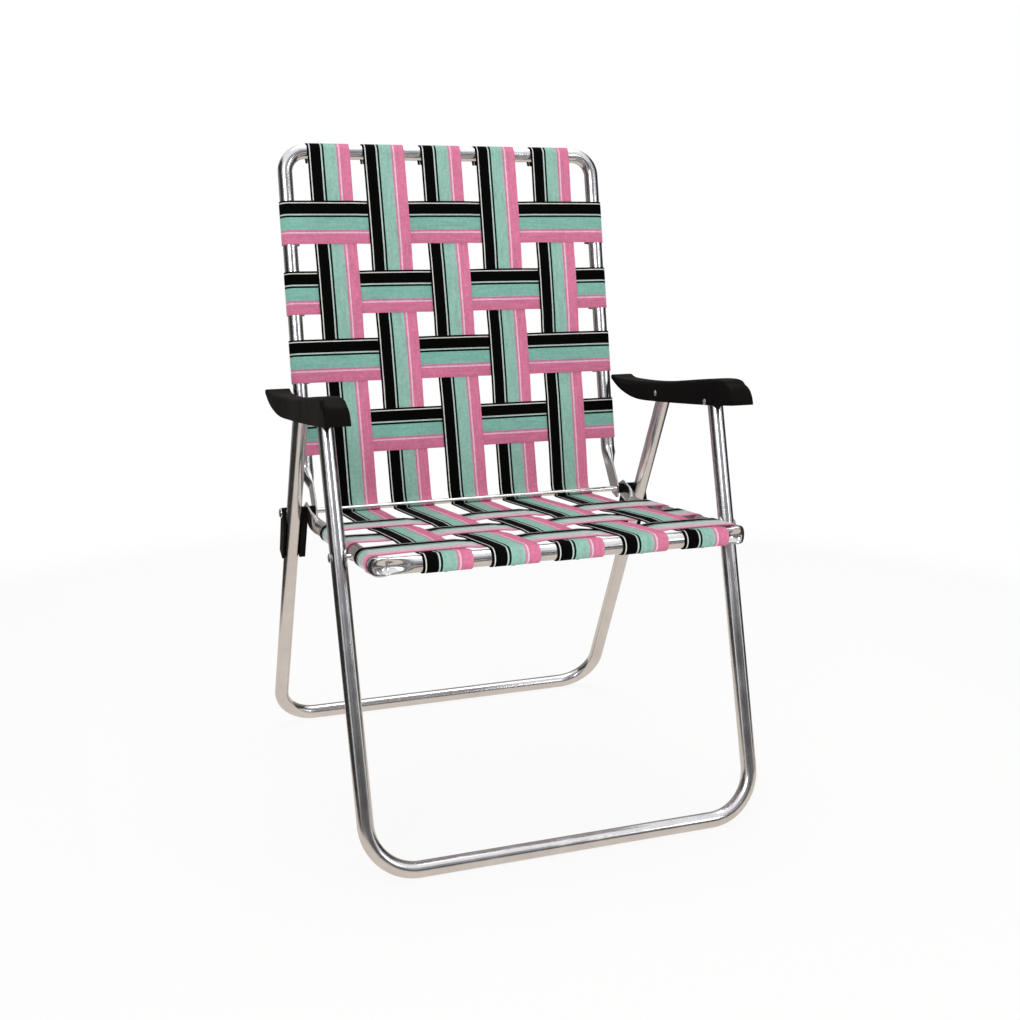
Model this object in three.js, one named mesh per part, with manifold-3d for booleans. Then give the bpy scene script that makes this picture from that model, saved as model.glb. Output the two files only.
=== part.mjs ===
// Folding webbed lawn chair: bent aluminium tube, woven straps, moulded armrests.
// Millimetres, +Z up, the chair faces -Y, origin on the floor in the middle of the footprint.
import * as THREE from 'three';
import { mergeVertices } from 'three/addons/utils/BufferGeometryUtils.js';
import Module from 'manifold-3d';

const wasm = await Module();
wasm.setup();

// Tube
const tubeD = 19;
const tubeWall = 1.2;
const tubeSides = 12;
const bendSteps = 6;

// Leg frames
const legSpread = 520;
const frontLean = 16.1;
const rearLean = 26.5;
const legGap = 8.5;
const frontInset = 6;
const frontBendR = 58;
const rearBendR = 52;
const frontLegStub = 12;

// Pivot heights above the floor
const axleHeight = 346.2;
const armFrontHeight = 498;
const armRearHeight = 492;

// Back frame, measured from the axle
const backRecline = 11;
const backLength = 473.5;
const backOffset = 25.4;
const backTopR = 28;
const backElbowHeight = 56.5;
const backElbowR = 30;

// Seat frame, measured from the axle
const seatReach = 345.8;
const seatHalf = 218.5;
const seatRise = 10.4;
const rodGap = 0.5;
const seatDipReach = 46.8;
const seatElbowR = 24;
const seatCornerR = 12;
const cornerPush = 4;
const cornerDent = 12;
const cornerDentRun = 30;
const cornerSwell = 1.6;

// Flattened tube ends
const flatThickness = 3.6;
const flatWidth = 25;
const seatFlatLength = 34;
const seatFlatTaper = 36;
const backFlatLength = 48;
const backFlatTaper = 18;
const flatEdge = 12.5;

// Axle and rivets
const axleD = 7;
const axleCapD = 13;
const axleCapT = 3.5;
const spacerD = 14;
const spacerT = 7;
const rivetD = 6;
const rivetHeadD = 11;
const rivetHeadT = 2.4;

// Webbing
const webWidth = 57;
const webT = 1.2;
const webMargin = 23.5;
const webShift = -4.4;
const longStraps = 5;
const backCrossGap = 10.9;
const backCrossTop = 94.6;
const backCrossStraps = 4;
const seatCrossPitch = 92;
const seatCrossGap = 0.5;
const seatCrossStraps = 3;
const webCornerR = 18;
const webWrapTurn = 205;
const webTail = 10;
const seatWebDrift = 16;

// Armrests
const armWall = 3.6;
const armGap = 1.4;
const armLegGap = 2.2;
const armFrontReach = 68.7;
const armRearReach = 145;
const armCrestHeight = 31;
const armSeatHeight = 15.4;
const armTipHeight = 9;
const armTipT = 5;
const armFrontDrop = 4;
const armRearDrop = 11.2;
const armBellyDrop = 14.7;
const armTipFlare = 4.2;
const armEdgeR = 6;
const armSteps = 18;

// Hinge brackets
const bracketWall = 3;
const bracketBossR = 7;
const bracketShoulder = 8;
const bracketBelow = 61;
const bracketDepth = 5;
const bracketFootDepth = 6;

// Running gap between pieces that touch or turn on each other
const clear = 0.3;

const rad = THREE.MathUtils.degToRad;
const tubeR = tubeD / 2;
const outward = new THREE.Vector3(-1, 0, 0);

// The leg bars rest on one flat of their many-sided section
const footZ = tubeR * Math.cos(Math.PI / tubeSides);

// Webbing levels: the weave plane clears a tube by the running gap and half a strap
const webLift = tubeR + clear + webT / 2;
const weaveStep = (webT + clear) / 2;

// The rails dip behind the seat so that the webbing passes under the axle rod
const railDrop = webLift + weaveStep + webT / 2 + axleD / 2 + rodGap;
const seatGrade = (seatRise + railDrop) / seatReach;
const seatDip = railDrop - seatGrade * seatDipReach;

// The rear legs stand outside the seat rails, the front legs come in a little towards the floor
const backHalf = seatHalf;
const rearHalf = seatHalf + tubeD + legGap;
const frontHalf = rearHalf - frontInset;
const armWidth = tubeD + 2 * (armGap + armWall);

// Heights of the leg pivots give their places along the leaning tubes
const frontY = (z) => -legSpread / 2 + (z - footZ) * Math.tan(rad(frontLean));
const rearY = (z) => legSpread / 2 - (z - footZ) * Math.tan(rad(rearLean));
const armFront = new THREE.Vector3(0, frontY(armFrontHeight), armFrontHeight);
const armRear = new THREE.Vector3(0, rearY(armRearHeight), armRearHeight);

// The axle rod runs just behind the rear legs, held by the hinge brackets
const axleBehind = tubeR + clear + axleD / 2;
const axle = new THREE.Vector3(0, rearY(axleHeight) + axleBehind / Math.cos(rad(rearLean)), axleHeight);

// The seat pivot is where the front legs cross the rails
const railRun = axle.y - seatDipReach - frontY(axleHeight - seatDip);
const railClimb = (seatGrade * railRun) / (1 + seatGrade * Math.tan(rad(frontLean)));
const seatPivotHeight = axleHeight - seatDip + railClimb;
const seatPivot = new THREE.Vector3(0, frontY(seatPivotHeight), seatPivotHeight);
const alongFront = (z) => (z - footZ) / Math.cos(rad(frontLean));
const alongRear = (z) => (z - footZ) / Math.cos(rad(rearLean));

// Stack along the axle: the seat ends lie flush with the tubes' outer sides, the back ends inside the spacers
const seatFlatX = seatHalf + tubeR - flatThickness / 2;
const bracketInnerX = seatHalf + tubeR + clear;
const bracketOuterX = rearHalf + tubeR + clear + bracketWall;
const spacerX = seatFlatX - flatThickness / 2 - clear - spacerT / 2;
const backFlatX = spacerX - spacerT / 2 - clear - flatThickness / 2;

const finishes = {
  aluminium: { color: 0xc9ccd0, roughness: 0.25, metalness: 1 },
  steel: { color: 0xd8d6d0, roughness: 0.3, metalness: 1 },
  plastic: { color: 0x141414, roughness: 0.5, metalness: 0 },
  webbing: { color: 0x7bbfae, roughness: 0.8, metalness: 0 },
};

const chair = new THREE.Group();

function piece(parent, name, geometry, finish) {
  const mesh = new THREE.Mesh(geometry, new THREE.MeshStandardMaterial(finishes[finish]));
  mesh.name = name;
  parent.add(mesh);
  return mesh;
}

// Closed geometry to solid and back
function solid(geometry, matrix) {
  const bare = new THREE.BufferGeometry();
  bare.setAttribute('position', geometry.getAttribute('position').clone());
  if (geometry.index) bare.setIndex(geometry.index.clone());
  if (matrix) bare.applyMatrix4(matrix);
  const merged = mergeVertices(bare, 1e-4);
  const vertProperties = new Float32Array(merged.getAttribute('position').array);
  const triVerts = new Uint32Array(merged.index.array);
  return new wasm.Manifold(new wasm.Mesh({ numProp: 3, vertProperties, triVerts }));
}

function geometryOf(manifold) {
  const mesh = manifold.getMesh();
  const geometry = new THREE.BufferGeometry();
  geometry.setAttribute('position', new THREE.BufferAttribute(new Float32Array(mesh.vertProperties), 3));
  geometry.setIndex(new THREE.BufferAttribute(new Uint32Array(mesh.triVerts), 1));
  return geometry;
}

function cut(geometry, ...cutters) {
  let result = solid(geometry);
  for (const cutter of cutters) result = result.subtract(cutter);
  return geometryOf(result);
}

// A pin, hole or washer across the chair between two places on X
function crossCylinder(diameter, fromX, toX, y, z, sides = 16) {
  const geometry = new THREE.CylinderGeometry(diameter / 2, diameter / 2, Math.abs(toX - fromX), sides);
  geometry.rotateZ(Math.PI / 2);
  geometry.translate((fromX + toX) / 2, y, z);
  return geometry;
}

function holeAcross(diameter, fromX, toX, y, z) {
  return solid(crossCylinder(diameter + 2 * clear, fromX, toX, y, z));
}

// A path of straight runs joined by arcs, with a bend radius at each inner corner
function bentPath(corners, radii) {
  const runs = [];
  let from = corners[0];
  for (let i = 1; i < corners.length - 1; i++) {
    const before = corners[i].clone().sub(corners[i - 1]).normalize();
    const after = corners[i + 1].clone().sub(corners[i]).normalize();
    const turn = before.angleTo(after);
    const reach = radii[i - 1] * Math.tan(turn / 2);
    const start = corners[i].clone().addScaledVector(before, -reach);
    const inward = after.clone().sub(before).normalize();
    const centre = corners[i].clone().addScaledVector(inward, radii[i - 1] / Math.cos(turn / 2));
    const axis = before.clone().cross(after).normalize();
    runs.push({ from, dir: before, length: from.distanceTo(start) });
    runs.push({ from: start, dir: before, centre, axis, turn, length: turn * radii[i - 1] });
    from = corners[i].clone().addScaledVector(after, reach);
  }
  const last = corners[corners.length - 1];
  runs.push({ from, dir: last.clone().sub(from).normalize(), length: from.distanceTo(last) });
  return runs;
}

const lengthOf = (runs) => runs.reduce((sum, run) => sum + run.length, 0);

function placeAt(runs, distance) {
  let left = distance;
  for (const run of runs) {
    const isLast = run === runs[runs.length - 1];
    if (left <= run.length || isLast) {
      const straight = run.from.clone().addScaledVector(run.dir, left);
      if (!run.axis) return { point: straight, dir: run.dir.clone() };
      const angle = (run.turn * left) / run.length;
      const arm = run.from.clone().sub(run.centre).applyAxisAngle(run.axis, angle);
      return { point: run.centre.clone().add(arm), dir: run.dir.clone().applyAxisAngle(run.axis, angle) };
    }
    left -= run.length;
  }
  return null;
}

// Distances along a path that its rings need: the ends of runs, steps in arcs, and any others asked for
function stationsOf(runs, extra = []) {
  const list = [0];
  let at = 0;
  for (const run of runs) {
    const steps = run.axis ? bendSteps : 1;
    for (let k = 1; k <= steps; k++) list.push(at + (run.length * k) / steps);
    at += run.length;
  }
  const sorted = [...list, ...extra.filter((s) => s > 0 && s < at)].sort((a, b) => a - b);
  return sorted.filter((s, i) => i === 0 || s - sorted[i - 1] > 0.4);
}

// Rings round a path; the section's first axis starts along firstAxis and follows the bends
function ringsAlong(runs, stations, firstAxis, section) {
  const rings = [];
  let e1 = firstAxis.clone();
  let dirBefore = null;
  for (const s of stations) {
    const { point, dir } = placeAt(runs, s);
    if (dirBefore) e1.applyQuaternion(new THREE.Quaternion().setFromUnitVectors(dirBefore, dir));
    e1 = e1.addScaledVector(dir, -e1.dot(dir)).normalize();
    const e2 = dir.clone().cross(e1);
    const ring = section(s).map(([a, b]) => point.clone().addScaledVector(e1, a).addScaledVector(e2, b));
    rings.push(ring);
    dirBefore = dir;
  }
  return rings;
}

// Skin over a closed cycle of rings, as in a hollow tube: out along the outside, back along the bore
function skinOfCycle(rings) {
  const sides = rings[0].length;
  const positions = rings.flat().flatMap((p) => [p.x, p.y, p.z]);
  const index = [];
  for (let i = 0; i < rings.length; i++) {
    const a = i * sides;
    const b = ((i + 1) % rings.length) * sides;
    for (let k = 0; k < sides; k++) {
      const n = (k + 1) % sides;
      index.push(a + k, b + k, b + n, a + k, b + n, a + n);
    }
  }
  const geometry = new THREE.BufferGeometry();
  geometry.setAttribute('position', new THREE.Float32BufferAttribute(positions, 3));
  geometry.setIndex(index);
  return facingOut(geometry);
}

// Skin over a row of rings with both ends closed
function skinOfRow(rings) {
  const sides = rings[0].length;
  const positions = rings.flat().flatMap((p) => [p.x, p.y, p.z]);
  const index = [];
  for (let i = 0; i < rings.length - 1; i++) {
    const a = i * sides;
    const b = a + sides;
    for (let k = 0; k < sides; k++) {
      const n = (k + 1) % sides;
      index.push(a + k, b + k, b + n, a + k, b + n, a + n);
    }
  }
  const end = (rings.length - 1) * sides;
  for (let k = 1; k < sides - 1; k++) {
    index.push(0, k, k + 1);
    index.push(end, end + k + 1, end + k);
  }
  const geometry = new THREE.BufferGeometry();
  geometry.setAttribute('position', new THREE.Float32BufferAttribute(positions, 3));
  geometry.setIndex(index);
  return facingOut(geometry);
}

function facingOut(geometry) {
  const p = geometry.getAttribute('position');
  const index = geometry.index.array;
  const a = new THREE.Vector3();
  const b = new THREE.Vector3();
  const c = new THREE.Vector3();
  let volume = 0;
  for (let i = 0; i < index.length; i += 3) {
    a.fromBufferAttribute(p, index[i]);
    b.fromBufferAttribute(p, index[i + 1]);
    c.fromBufferAttribute(p, index[i + 2]);
    volume += a.dot(b.cross(c));
  }
  if (volume < 0) {
    for (let i = 0; i < index.length; i += 3) [index[i + 1], index[i + 2]] = [index[i + 2], index[i + 1]];
  }
  return geometry;
}

// Tube section: half sizes across and along, squareness 2 is round, dent pushes in the first axis' side
function tubeSection(a, b, squareness, shift = 0, dent = 0, phase = 0) {
  const points = [];
  for (let k = 0; k < tubeSides; k++) {
    const angle = phase + (2 * Math.PI * k) / tubeSides;
    const c = Math.cos(angle);
    const s = Math.sin(angle);
    const x = a * Math.sign(c) * Math.abs(c) ** (2 / squareness);
    const y = b * Math.sign(s) * Math.abs(s) ** (2 / squareness);
    const push = dent * Math.max(0, c) ** 3;
    points.push([x + shift - push, y]);
  }
  return points;
}

function hollowTube(runs, stations, firstAxis, shape) {
  const outer = ringsAlong(runs, stations, firstAxis, (s) => tubeSection(...shape(s, 0)));
  const inner = ringsAlong(runs, stations, firstAxis, (s) => tubeSection(...shape(s, tubeWall)));
  return skinOfCycle([...outer, ...inner.reverse()]);
}

const smooth = (t) => {
  const u = THREE.MathUtils.clamp(t, 0, 1);
  return u * u * (3 - 2 * u);
};

// How flat a tube is at a distance from its nearer end: 1 on the flattened end, 0 where it is round
const flatness = (fromEnd, length, taper) => 1 - smooth((fromEnd - length) / taper);

function flattenedShape(flat, shift, wall) {
  const a = THREE.MathUtils.lerp(tubeR, flatThickness / 2, flat) - wall;
  const b = THREE.MathUtils.lerp(tubeR, flatWidth / 2, flat) - wall;
  return [a, b, THREE.MathUtils.lerp(2, 4, flat), shift * flat];
}

const taperStations = (length, flatLength, flatTaper) => {
  const near = [0, 0.25, 0.5, 0.75, 1].map((t) => flatLength + t * flatTaper);
  return [...near, ...near.map((s) => length - s)];
};

// U-shaped leg frames, drawn flat with the bar on the floor and then leaned

function legFrame(halfAtFloor, halfAtTop, legLength, bendR, lean, holes) {
  const corners = [
    new THREE.Vector3(-halfAtTop, 0, legLength),
    new THREE.Vector3(-halfAtFloor, 0, 0),
    new THREE.Vector3(halfAtFloor, 0, 0),
    new THREE.Vector3(halfAtTop, 0, legLength),
  ];
  const runs = bentPath(corners, [bendR, bendR]);
  // Section turned so that a flat faces straight down once the frame is leaned
  const phase = Math.PI / tubeSides - Math.PI / 2 - lean;
  const round = (s, wall) => [tubeR - wall, tubeR - wall, 2, 0, 0, phase];
  const tube = hollowTube(runs, stationsOf(runs), new THREE.Vector3(0, 1, 0), round);
  const reach = halfAtTop + tubeD;
  const cutters = holes.map(([diameter, along]) => holeAcross(diameter, -reach, reach, 0, along));
  return cut(tube, ...cutters);
}

const frontAlongArm = alongFront(armFrontHeight);
const frontLegLength = frontAlongArm + frontLegStub;
const frontSplay = (rearHalf - frontHalf) / frontAlongArm;
const frontHalfAt = (along) => frontHalf + frontSplay * along;
const frontLegs = new THREE.Group();
frontLegs.position.set(0, -legSpread / 2, footZ);
const frontTurn = -rad(frontLean);
frontLegs.rotation.x = frontTurn;
chair.add(frontLegs);
const frontHoles = [[rivetD, frontAlongArm], [rivetD, alongFront(seatPivotHeight)]];
const frontTopHalf = frontHalfAt(frontLegLength);
const frontFrame = legFrame(frontHalf, frontTopHalf, frontLegLength, frontBendR, frontTurn, frontHoles);
piece(frontLegs, 'front_leg_frame', frontFrame, 'aluminium');

// The rear legs end under the armrests' ceiling
const rearLegRoom = armSeatHeight - armWall - armLegGap - tubeR * Math.sin(rad(rearLean));
const rearLegLength = alongRear(armRearHeight) + rearLegRoom / Math.cos(rad(rearLean));
const rearLegs = new THREE.Group();
rearLegs.position.set(0, legSpread / 2, footZ);
const rearTurn = rad(rearLean);
rearLegs.rotation.x = rearTurn;
chair.add(rearLegs);
const rearHoles = [[rivetD, alongRear(armRearHeight)]];
const rearFrame = legFrame(rearHalf, rearHalf, rearLegLength, rearBendR, rearTurn, rearHoles);
piece(rearLegs, 'rear_leg_frame', rearFrame, 'aluminium');

// Back frame: an inverted U behind the axle whose flattened ends come forward to it

const back = new THREE.Group();
back.position.copy(axle);
back.rotation.x = -rad(backRecline);
chair.add(back);

const backEndDir = new THREE.Vector3(0, backOffset, backElbowHeight).normalize();
const backCorner = (side, y, z) => new THREE.Vector3(side * backHalf, y, z);
const backTip = (side) => backCorner(side, 0, 0).addScaledVector(backEndDir, -flatEdge);
const backRuns = bentPath([
  backTip(-1),
  backCorner(-1, backOffset, backElbowHeight),
  backCorner(-1, backOffset, backLength),
  backCorner(1, backOffset, backLength),
  backCorner(1, backOffset, backElbowHeight),
  backTip(1),
], [backElbowR, backTopR, backTopR, backElbowR]);
const backPathLength = lengthOf(backRuns);
const backShape = (s, wall) => {
  const flat = flatness(Math.min(s, backPathLength - s), backFlatLength, backFlatTaper);
  return flattenedShape(flat, backFlatX - backHalf, wall);
};
const backTapers = taperStations(backPathLength, backFlatLength, backFlatTaper);
const backStations = stationsOf(backRuns, backTapers);
const backTube = hollowTube(backRuns, backStations, outward, backShape);
const backAxleHole = holeAcross(axleD, -backHalf - tubeD, backHalf + tubeD, 0, 0);
piece(back, 'back_frame', cut(backTube, backAxleHole), 'aluminium');

// Seat frame: a U open to the rear, with dented tight corners at the front

const seat = new THREE.Group();
seat.position.copy(axle);
chair.add(seat);

const seatDipPoint = new THREE.Vector3(0, -seatDipReach, -seatDip);
const seatEndDir = seatDipPoint.clone().normalize();
const seatCorner = (side, y, z) => new THREE.Vector3(side * seatHalf, y, z);
const seatTip = (side) => seatCorner(side, 0, 0).addScaledVector(seatEndDir, -flatEdge);
const seatRuns = bentPath([
  seatTip(-1),
  seatCorner(-1, seatDipPoint.y, seatDipPoint.z),
  seatCorner(-1, -seatReach, seatRise),
  seatCorner(1, -seatReach, seatRise),
  seatCorner(1, seatDipPoint.y, seatDipPoint.z),
  seatTip(1),
], [seatElbowR, seatCornerR, seatCornerR, seatElbowR]);
const seatPathLength = lengthOf(seatRuns);
// Each dent starts where the rail starts to bend and runs out along the front bar
const dentStart = seatRuns[0].length + seatRuns[1].length + seatRuns[2].length;
const dentLength = seatRuns[3].length + cornerDentRun;
const dentPeak = seatRuns[3].length / dentLength;
const dentDepthAt = (s) => {
  const t = THREE.MathUtils.clamp((s - dentStart) / dentLength, 0, 1);
  return t < dentPeak ? smooth(t / dentPeak) : smooth((1 - t) / (1 - dentPeak));
};
const seatShape = (s, wall) => {
  const fromEnd = Math.min(s, seatPathLength - s);
  const flat = flatness(fromEnd, seatFlatLength, seatFlatTaper);
  const crush = dentDepthAt(fromEnd);
  const round = THREE.MathUtils.clamp((fromEnd - dentStart) / seatRuns[3].length, 0, 1);
  const swell = Math.sin(Math.PI * round);
  const [a, b, squareness, shift] = flattenedShape(flat, seatFlatX - seatHalf, wall);
  return [a, b + cornerSwell * swell, squareness, shift + cornerPush * swell, cornerDent * crush];
};
const dentEnd = dentStart + dentLength;
const dentStations = [0.25, 0.5, 0.75, 1].map((t) => dentEnd - (1 - t) * cornerDentRun);
const dentMirrored = dentStations.map((s) => seatPathLength - s);
const seatTapers = taperStations(seatPathLength, seatFlatLength, seatFlatTaper);
const seatExtra = [...dentStations, ...dentMirrored, ...seatTapers];
const seatTube = hollowTube(seatRuns, stationsOf(seatRuns, seatExtra), outward, seatShape);
const seatAxleHole = holeAcross(axleD, -seatHalf - tubeD, seatHalf + tubeD, 0, 0);
const seatPivotLocal = seatPivot.clone().sub(axle);
const seatPivotHoles = [-1, 1].map((side) => holeAcross(
  rivetD, side * seatHalf, side * (seatHalf + tubeD), seatPivotLocal.y, seatPivotLocal.z));
piece(seat, 'seat_frame', cut(seatTube, seatAxleHole, ...seatPivotHoles), 'aluminium');

// Axle rod, its end caps and the spacers between the back and seat ends

const capStart = bracketOuterX + clear;
const rodEnd = capStart + axleCapT / 2;
piece(chair, 'axle_rod', crossCylinder(axleD, -rodEnd, rodEnd, axle.y, axle.z), 'steel');

function domeCap(diameter, height, boreD, boreDepth) {
  const r = diameter / 2;
  const rim = height * 0.35;
  const profile = [new THREE.Vector2(boreD / 2, 0), new THREE.Vector2(r, 0), new THREE.Vector2(r, rim)];
  for (const t of [0.4, 0.75]) {
    const angle = (t * Math.PI) / 2;
    profile.push(new THREE.Vector2(r * Math.cos(angle), rim + (height - rim) * Math.sin(angle)));
  }
  profile.push(new THREE.Vector2(0, height), new THREE.Vector2(0, boreDepth));
  profile.push(new THREE.Vector2(boreD / 2, boreDepth), profile[0].clone());
  return new THREE.LatheGeometry(profile, 16);
}

function turnToSide(geometry, side) {
  return geometry.rotateZ((-side * Math.PI) / 2);
}

for (const [word, side] of [['left', -1], ['right', 1]]) {
  const cap = domeCap(axleCapD, axleCapT, axleD + 2 * clear, axleCapT / 2 + clear);
  const capMesh = piece(chair, `${word}_axle_cap`, turnToSide(cap, side), 'steel');
  capMesh.position.set(side * capStart, axle.y, axle.z);

  const [near, far] = [spacerX - spacerT / 2, spacerX + spacerT / 2].map((x) => side * x);
  const washer = crossCylinder(spacerD, near, far, 0, 0);
  const bore = holeAcross(axleD, side * (spacerX - spacerT), side * (spacerX + spacerT), 0, 0);
  const washerMesh = piece(chair, `${word}_hinge_spacer`, cut(washer, bore), 'plastic');
  washerMesh.position.set(0, axle.y, axle.z);
}

// Hinge brackets: moulded channels that hug the rear legs from behind, pinned on the axle

function bracket(side) {
  const middle = (bracketInnerX + bracketOuterX) / 2;
  const halfWide = (bracketOuterX - bracketInnerX) / 2;
  const legRoom = tubeR + clear;
  // Side outline from the leg's axis: a boss round the axle, then down behind and in front of the leg
  const block = new THREE.Shape();
  block.moveTo(legRoom + bracketWall, -bracketBelow);
  block.lineTo(axleBehind + bracketBossR, 0);
  block.absarc(axleBehind, 0, bracketBossR, 0, rad(110), false);
  block.lineTo(-bracketDepth, -bracketShoulder);
  block.lineTo(-bracketFootDepth, -bracketBelow);
  block.closePath();
  const profile = { depth: 2 * halfWide, bevelEnabled: false, curveSegments: 6 };
  const body = new THREE.ExtrudeGeometry(block, profile);
  // Shape x runs rearwards, shape y up the leg, depth across the chair
  const toLeg = new THREE.Matrix4().makeBasis(
    new THREE.Vector3(0, 1, 0), new THREE.Vector3(0, 0, 1), new THREE.Vector3(1, 0, 0));
  toLeg.setPosition(side * middle - halfWide, 0, 0);
  // The leg's round back lies in the channel
  const legBore = new THREE.CylinderGeometry(legRoom, legRoom, 4 * bracketBelow, 2 * tubeSides);
  legBore.rotateX(Math.PI / 2).translate(side * rearHalf, 0, 0);
  const mouth = new THREE.BoxGeometry(2 * legRoom, 2 * legRoom, 4 * bracketBelow);
  mouth.translate(side * rearHalf, -legRoom, 0);
  const bore = holeAcross(axleD, side * (bracketInnerX - tubeD), side * (bracketOuterX + tubeD), axleBehind, 0);
  return geometryOf(solid(body, toLeg).subtract(solid(legBore)).subtract(solid(mouth)).subtract(bore));
}

const legRear = new THREE.Vector3(0, Math.cos(rad(rearLean)), Math.sin(rad(rearLean)));
for (const [word, side] of [['left', -1], ['right', 1]]) {
  const mesh = piece(chair, `${word}_hinge_bracket`, bracket(side), 'plastic');
  mesh.position.copy(axle).addScaledVector(legRear, -axleBehind);
  mesh.rotation.x = rearTurn;
}

// Armrests: downward-open channels over the leg tops, with a crested front and a flared rear tip

const armFrontEnd = armFront.y - armFrontReach;
const armRearEnd = armRear.y + armRearReach;
const armCrestY = THREE.MathUtils.lerp(armFrontEnd, armFront.y, 0.7);
const armTop = new THREE.SplineCurve([
  new THREE.Vector2(armFrontEnd, armFront.z + armFrontDrop),
  new THREE.Vector2(THREE.MathUtils.lerp(armFrontEnd, armCrestY, 0.08), armFront.z + armCrestHeight * 0.62),
  new THREE.Vector2(THREE.MathUtils.lerp(armFrontEnd, armCrestY, 0.34), armFront.z + armCrestHeight * 0.89),
  new THREE.Vector2(armCrestY, armFront.z + armCrestHeight),
  new THREE.Vector2(armRear.y, armRear.z + armSeatHeight),
  new THREE.Vector2(THREE.MathUtils.lerp(armRear.y, armRearEnd, 0.78), armRear.z + armTipHeight - 2),
  new THREE.Vector2(armRearEnd, armRear.z + armTipHeight),
]);
const armUnder = new THREE.SplineCurve([
  new THREE.Vector2(armFrontEnd, armFront.z + armFrontDrop),
  new THREE.Vector2(armFront.y, armFront.z - armFrontDrop),
  new THREE.Vector2(armRear.y, armRear.z - armRearDrop),
  new THREE.Vector2(THREE.MathUtils.lerp(armRear.y, armRearEnd, 0.45), armRear.z - armBellyDrop),
  new THREE.Vector2(THREE.MathUtils.lerp(armRear.y, armRearEnd, 0.78), armRear.z - armBellyDrop * 0.55),
  new THREE.Vector2(armRearEnd, armRear.z + armTipHeight - armTipT),
]);

// Height of an outline curve at a place along the arm
function heightOn(curve, y) {
  const points = curve.getPoints(120);
  const next = points.findIndex((p) => p.x >= y);
  if (next <= 0) return next === 0 ? points[0].y : points[points.length - 1].y;
  const a = points[next - 1];
  const b = points[next];
  return THREE.MathUtils.lerp(a.y, b.y, (y - a.x) / (b.x - a.x));
}

function armSection(centreX, y, halfWide, top, bottom, edgeR) {
  const r = Math.min(edgeR, (top - bottom) * 0.45, halfWide * 0.6);
  const points = [[-halfWide, bottom], [halfWide, bottom]];
  for (const angle of [0, 30, 60, 90]) {
    points.push([halfWide - r + r * Math.cos(rad(angle)), top - r + r * Math.sin(rad(angle))]);
  }
  for (const angle of [90, 120, 150, 180]) {
    points.push([-halfWide + r + r * Math.cos(rad(angle)), top - r + r * Math.sin(rad(angle))]);
  }
  return points.map(([x, z]) => new THREE.Vector3(centreX + x, y, z));
}

function armrest(side) {
  const centreX = side * rearHalf;
  const outer = [];
  const hollow = [];
  for (let i = 0; i <= armSteps; i++) {
    const t = i / armSteps;
    const y = THREE.MathUtils.lerp(armFrontEnd + armTipT / 5, armRearEnd, t * t * 0.35 + t * 0.65);
    // The tip widens on the outside only, so that the back passes it when the chair folds
    const flare = (armTipFlare / 2) * smooth((y - armRear.y) / armRearReach);
    const [top, under] = [heightOn(armTop, y), heightOn(armUnder, y)];
    outer.push(armSection(centreX + side * flare, y, armWidth / 2 + flare, top, under, armEdgeR));
  }
  const hollowEnd = THREE.MathUtils.lerp(armRear.y, armRearEnd, 0.7);
  for (let i = 0; i <= armSteps; i++) {
    const y = THREE.MathUtils.lerp(armFrontEnd + 2 * armWall, hollowEnd, i / armSteps);
    const ceiling = heightOn(armTop, y) - armWall;
    const below = heightOn(armUnder, y) - armCrestHeight;
    hollow.push(armSection(centreX, y, armWidth / 2 - armWall, ceiling, below, armEdgeR - armWall / 2));
  }
  const holes = [armFront, armRear].map((pivot) => holeAcross(
    rivetD, side * (rearHalf - armWidth), centreX, pivot.y, pivot.z));
  return cut(skinOfRow(outer), solid(skinOfRow(hollow)), ...holes);
}

for (const [word, side] of [['left', -1], ['right', 1]]) {
  piece(chair, `${word}_armrest`, armrest(side), 'plastic');
  for (const [place, pivot] of [['front', armFront], ['rear', armRear]]) {
    // Each rivet enters from the inner side and ends blind behind the outer wall
    const [inner, outer] = [-armWidth / 2, armWidth / 2 - armWall - clear].map((x) => side * (rearHalf + x));
    const pin = crossCylinder(rivetD, inner, outer, pivot.y, pivot.z);
    piece(chair, `${word}_arm_${place}_rivet`, pin, 'steel');
  }
}

// Seat pivot rivets: a domed head outside each front leg and a shoulder that reaches towards the rail

const seatWrapX = seatHalf + webLift + webT / 2;
for (const [word, side] of [['left', -1], ['right', 1]]) {
  const legX = frontHalfAt(alongFront(seatPivotHeight));
  const headX = legX + tubeR + clear;
  const profile = [
    new THREE.Vector2(0, seatWrapX + clear),
    new THREE.Vector2(rivetD / 2, seatWrapX + clear),
    new THREE.Vector2(rivetD / 2, headX),
    new THREE.Vector2(rivetHeadD / 2, headX),
    new THREE.Vector2(rivetHeadD / 2, headX + rivetHeadT * 0.4),
    new THREE.Vector2(rivetHeadD * 0.32, headX + rivetHeadT * 0.85),
    new THREE.Vector2(0, headX + rivetHeadT),
  ];
  const rivet = turnToSide(new THREE.LatheGeometry(profile, 16), side);
  const mesh = piece(chair, `${word}_seat_rivet`, rivet, 'steel');
  mesh.position.set(0, seatPivot.y, seatPivot.z);
}

// Webbing: each strap is a thin outline along its run, extruded across its width

function strapOutline(points) {
  const facing = points.map((p, i) => {
    const before = points[Math.max(0, i - 1)];
    const after = points[Math.min(points.length - 1, i + 1)];
    const along = after.clone().sub(before).normalize();
    return new THREE.Vector2(-along.y, along.x);
  });
  const upper = points.map((p, i) => p.clone().addScaledVector(facing[i], webT / 2));
  const lower = points.map((p, i) => p.clone().addScaledVector(facing[i], -webT / 2));
  return new THREE.Shape([...upper, ...lower.reverse()]);
}

function strap(points) {
  return new THREE.ExtrudeGeometry(strapOutline(points), { depth: webWidth, bevelEnabled: false });
}

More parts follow.
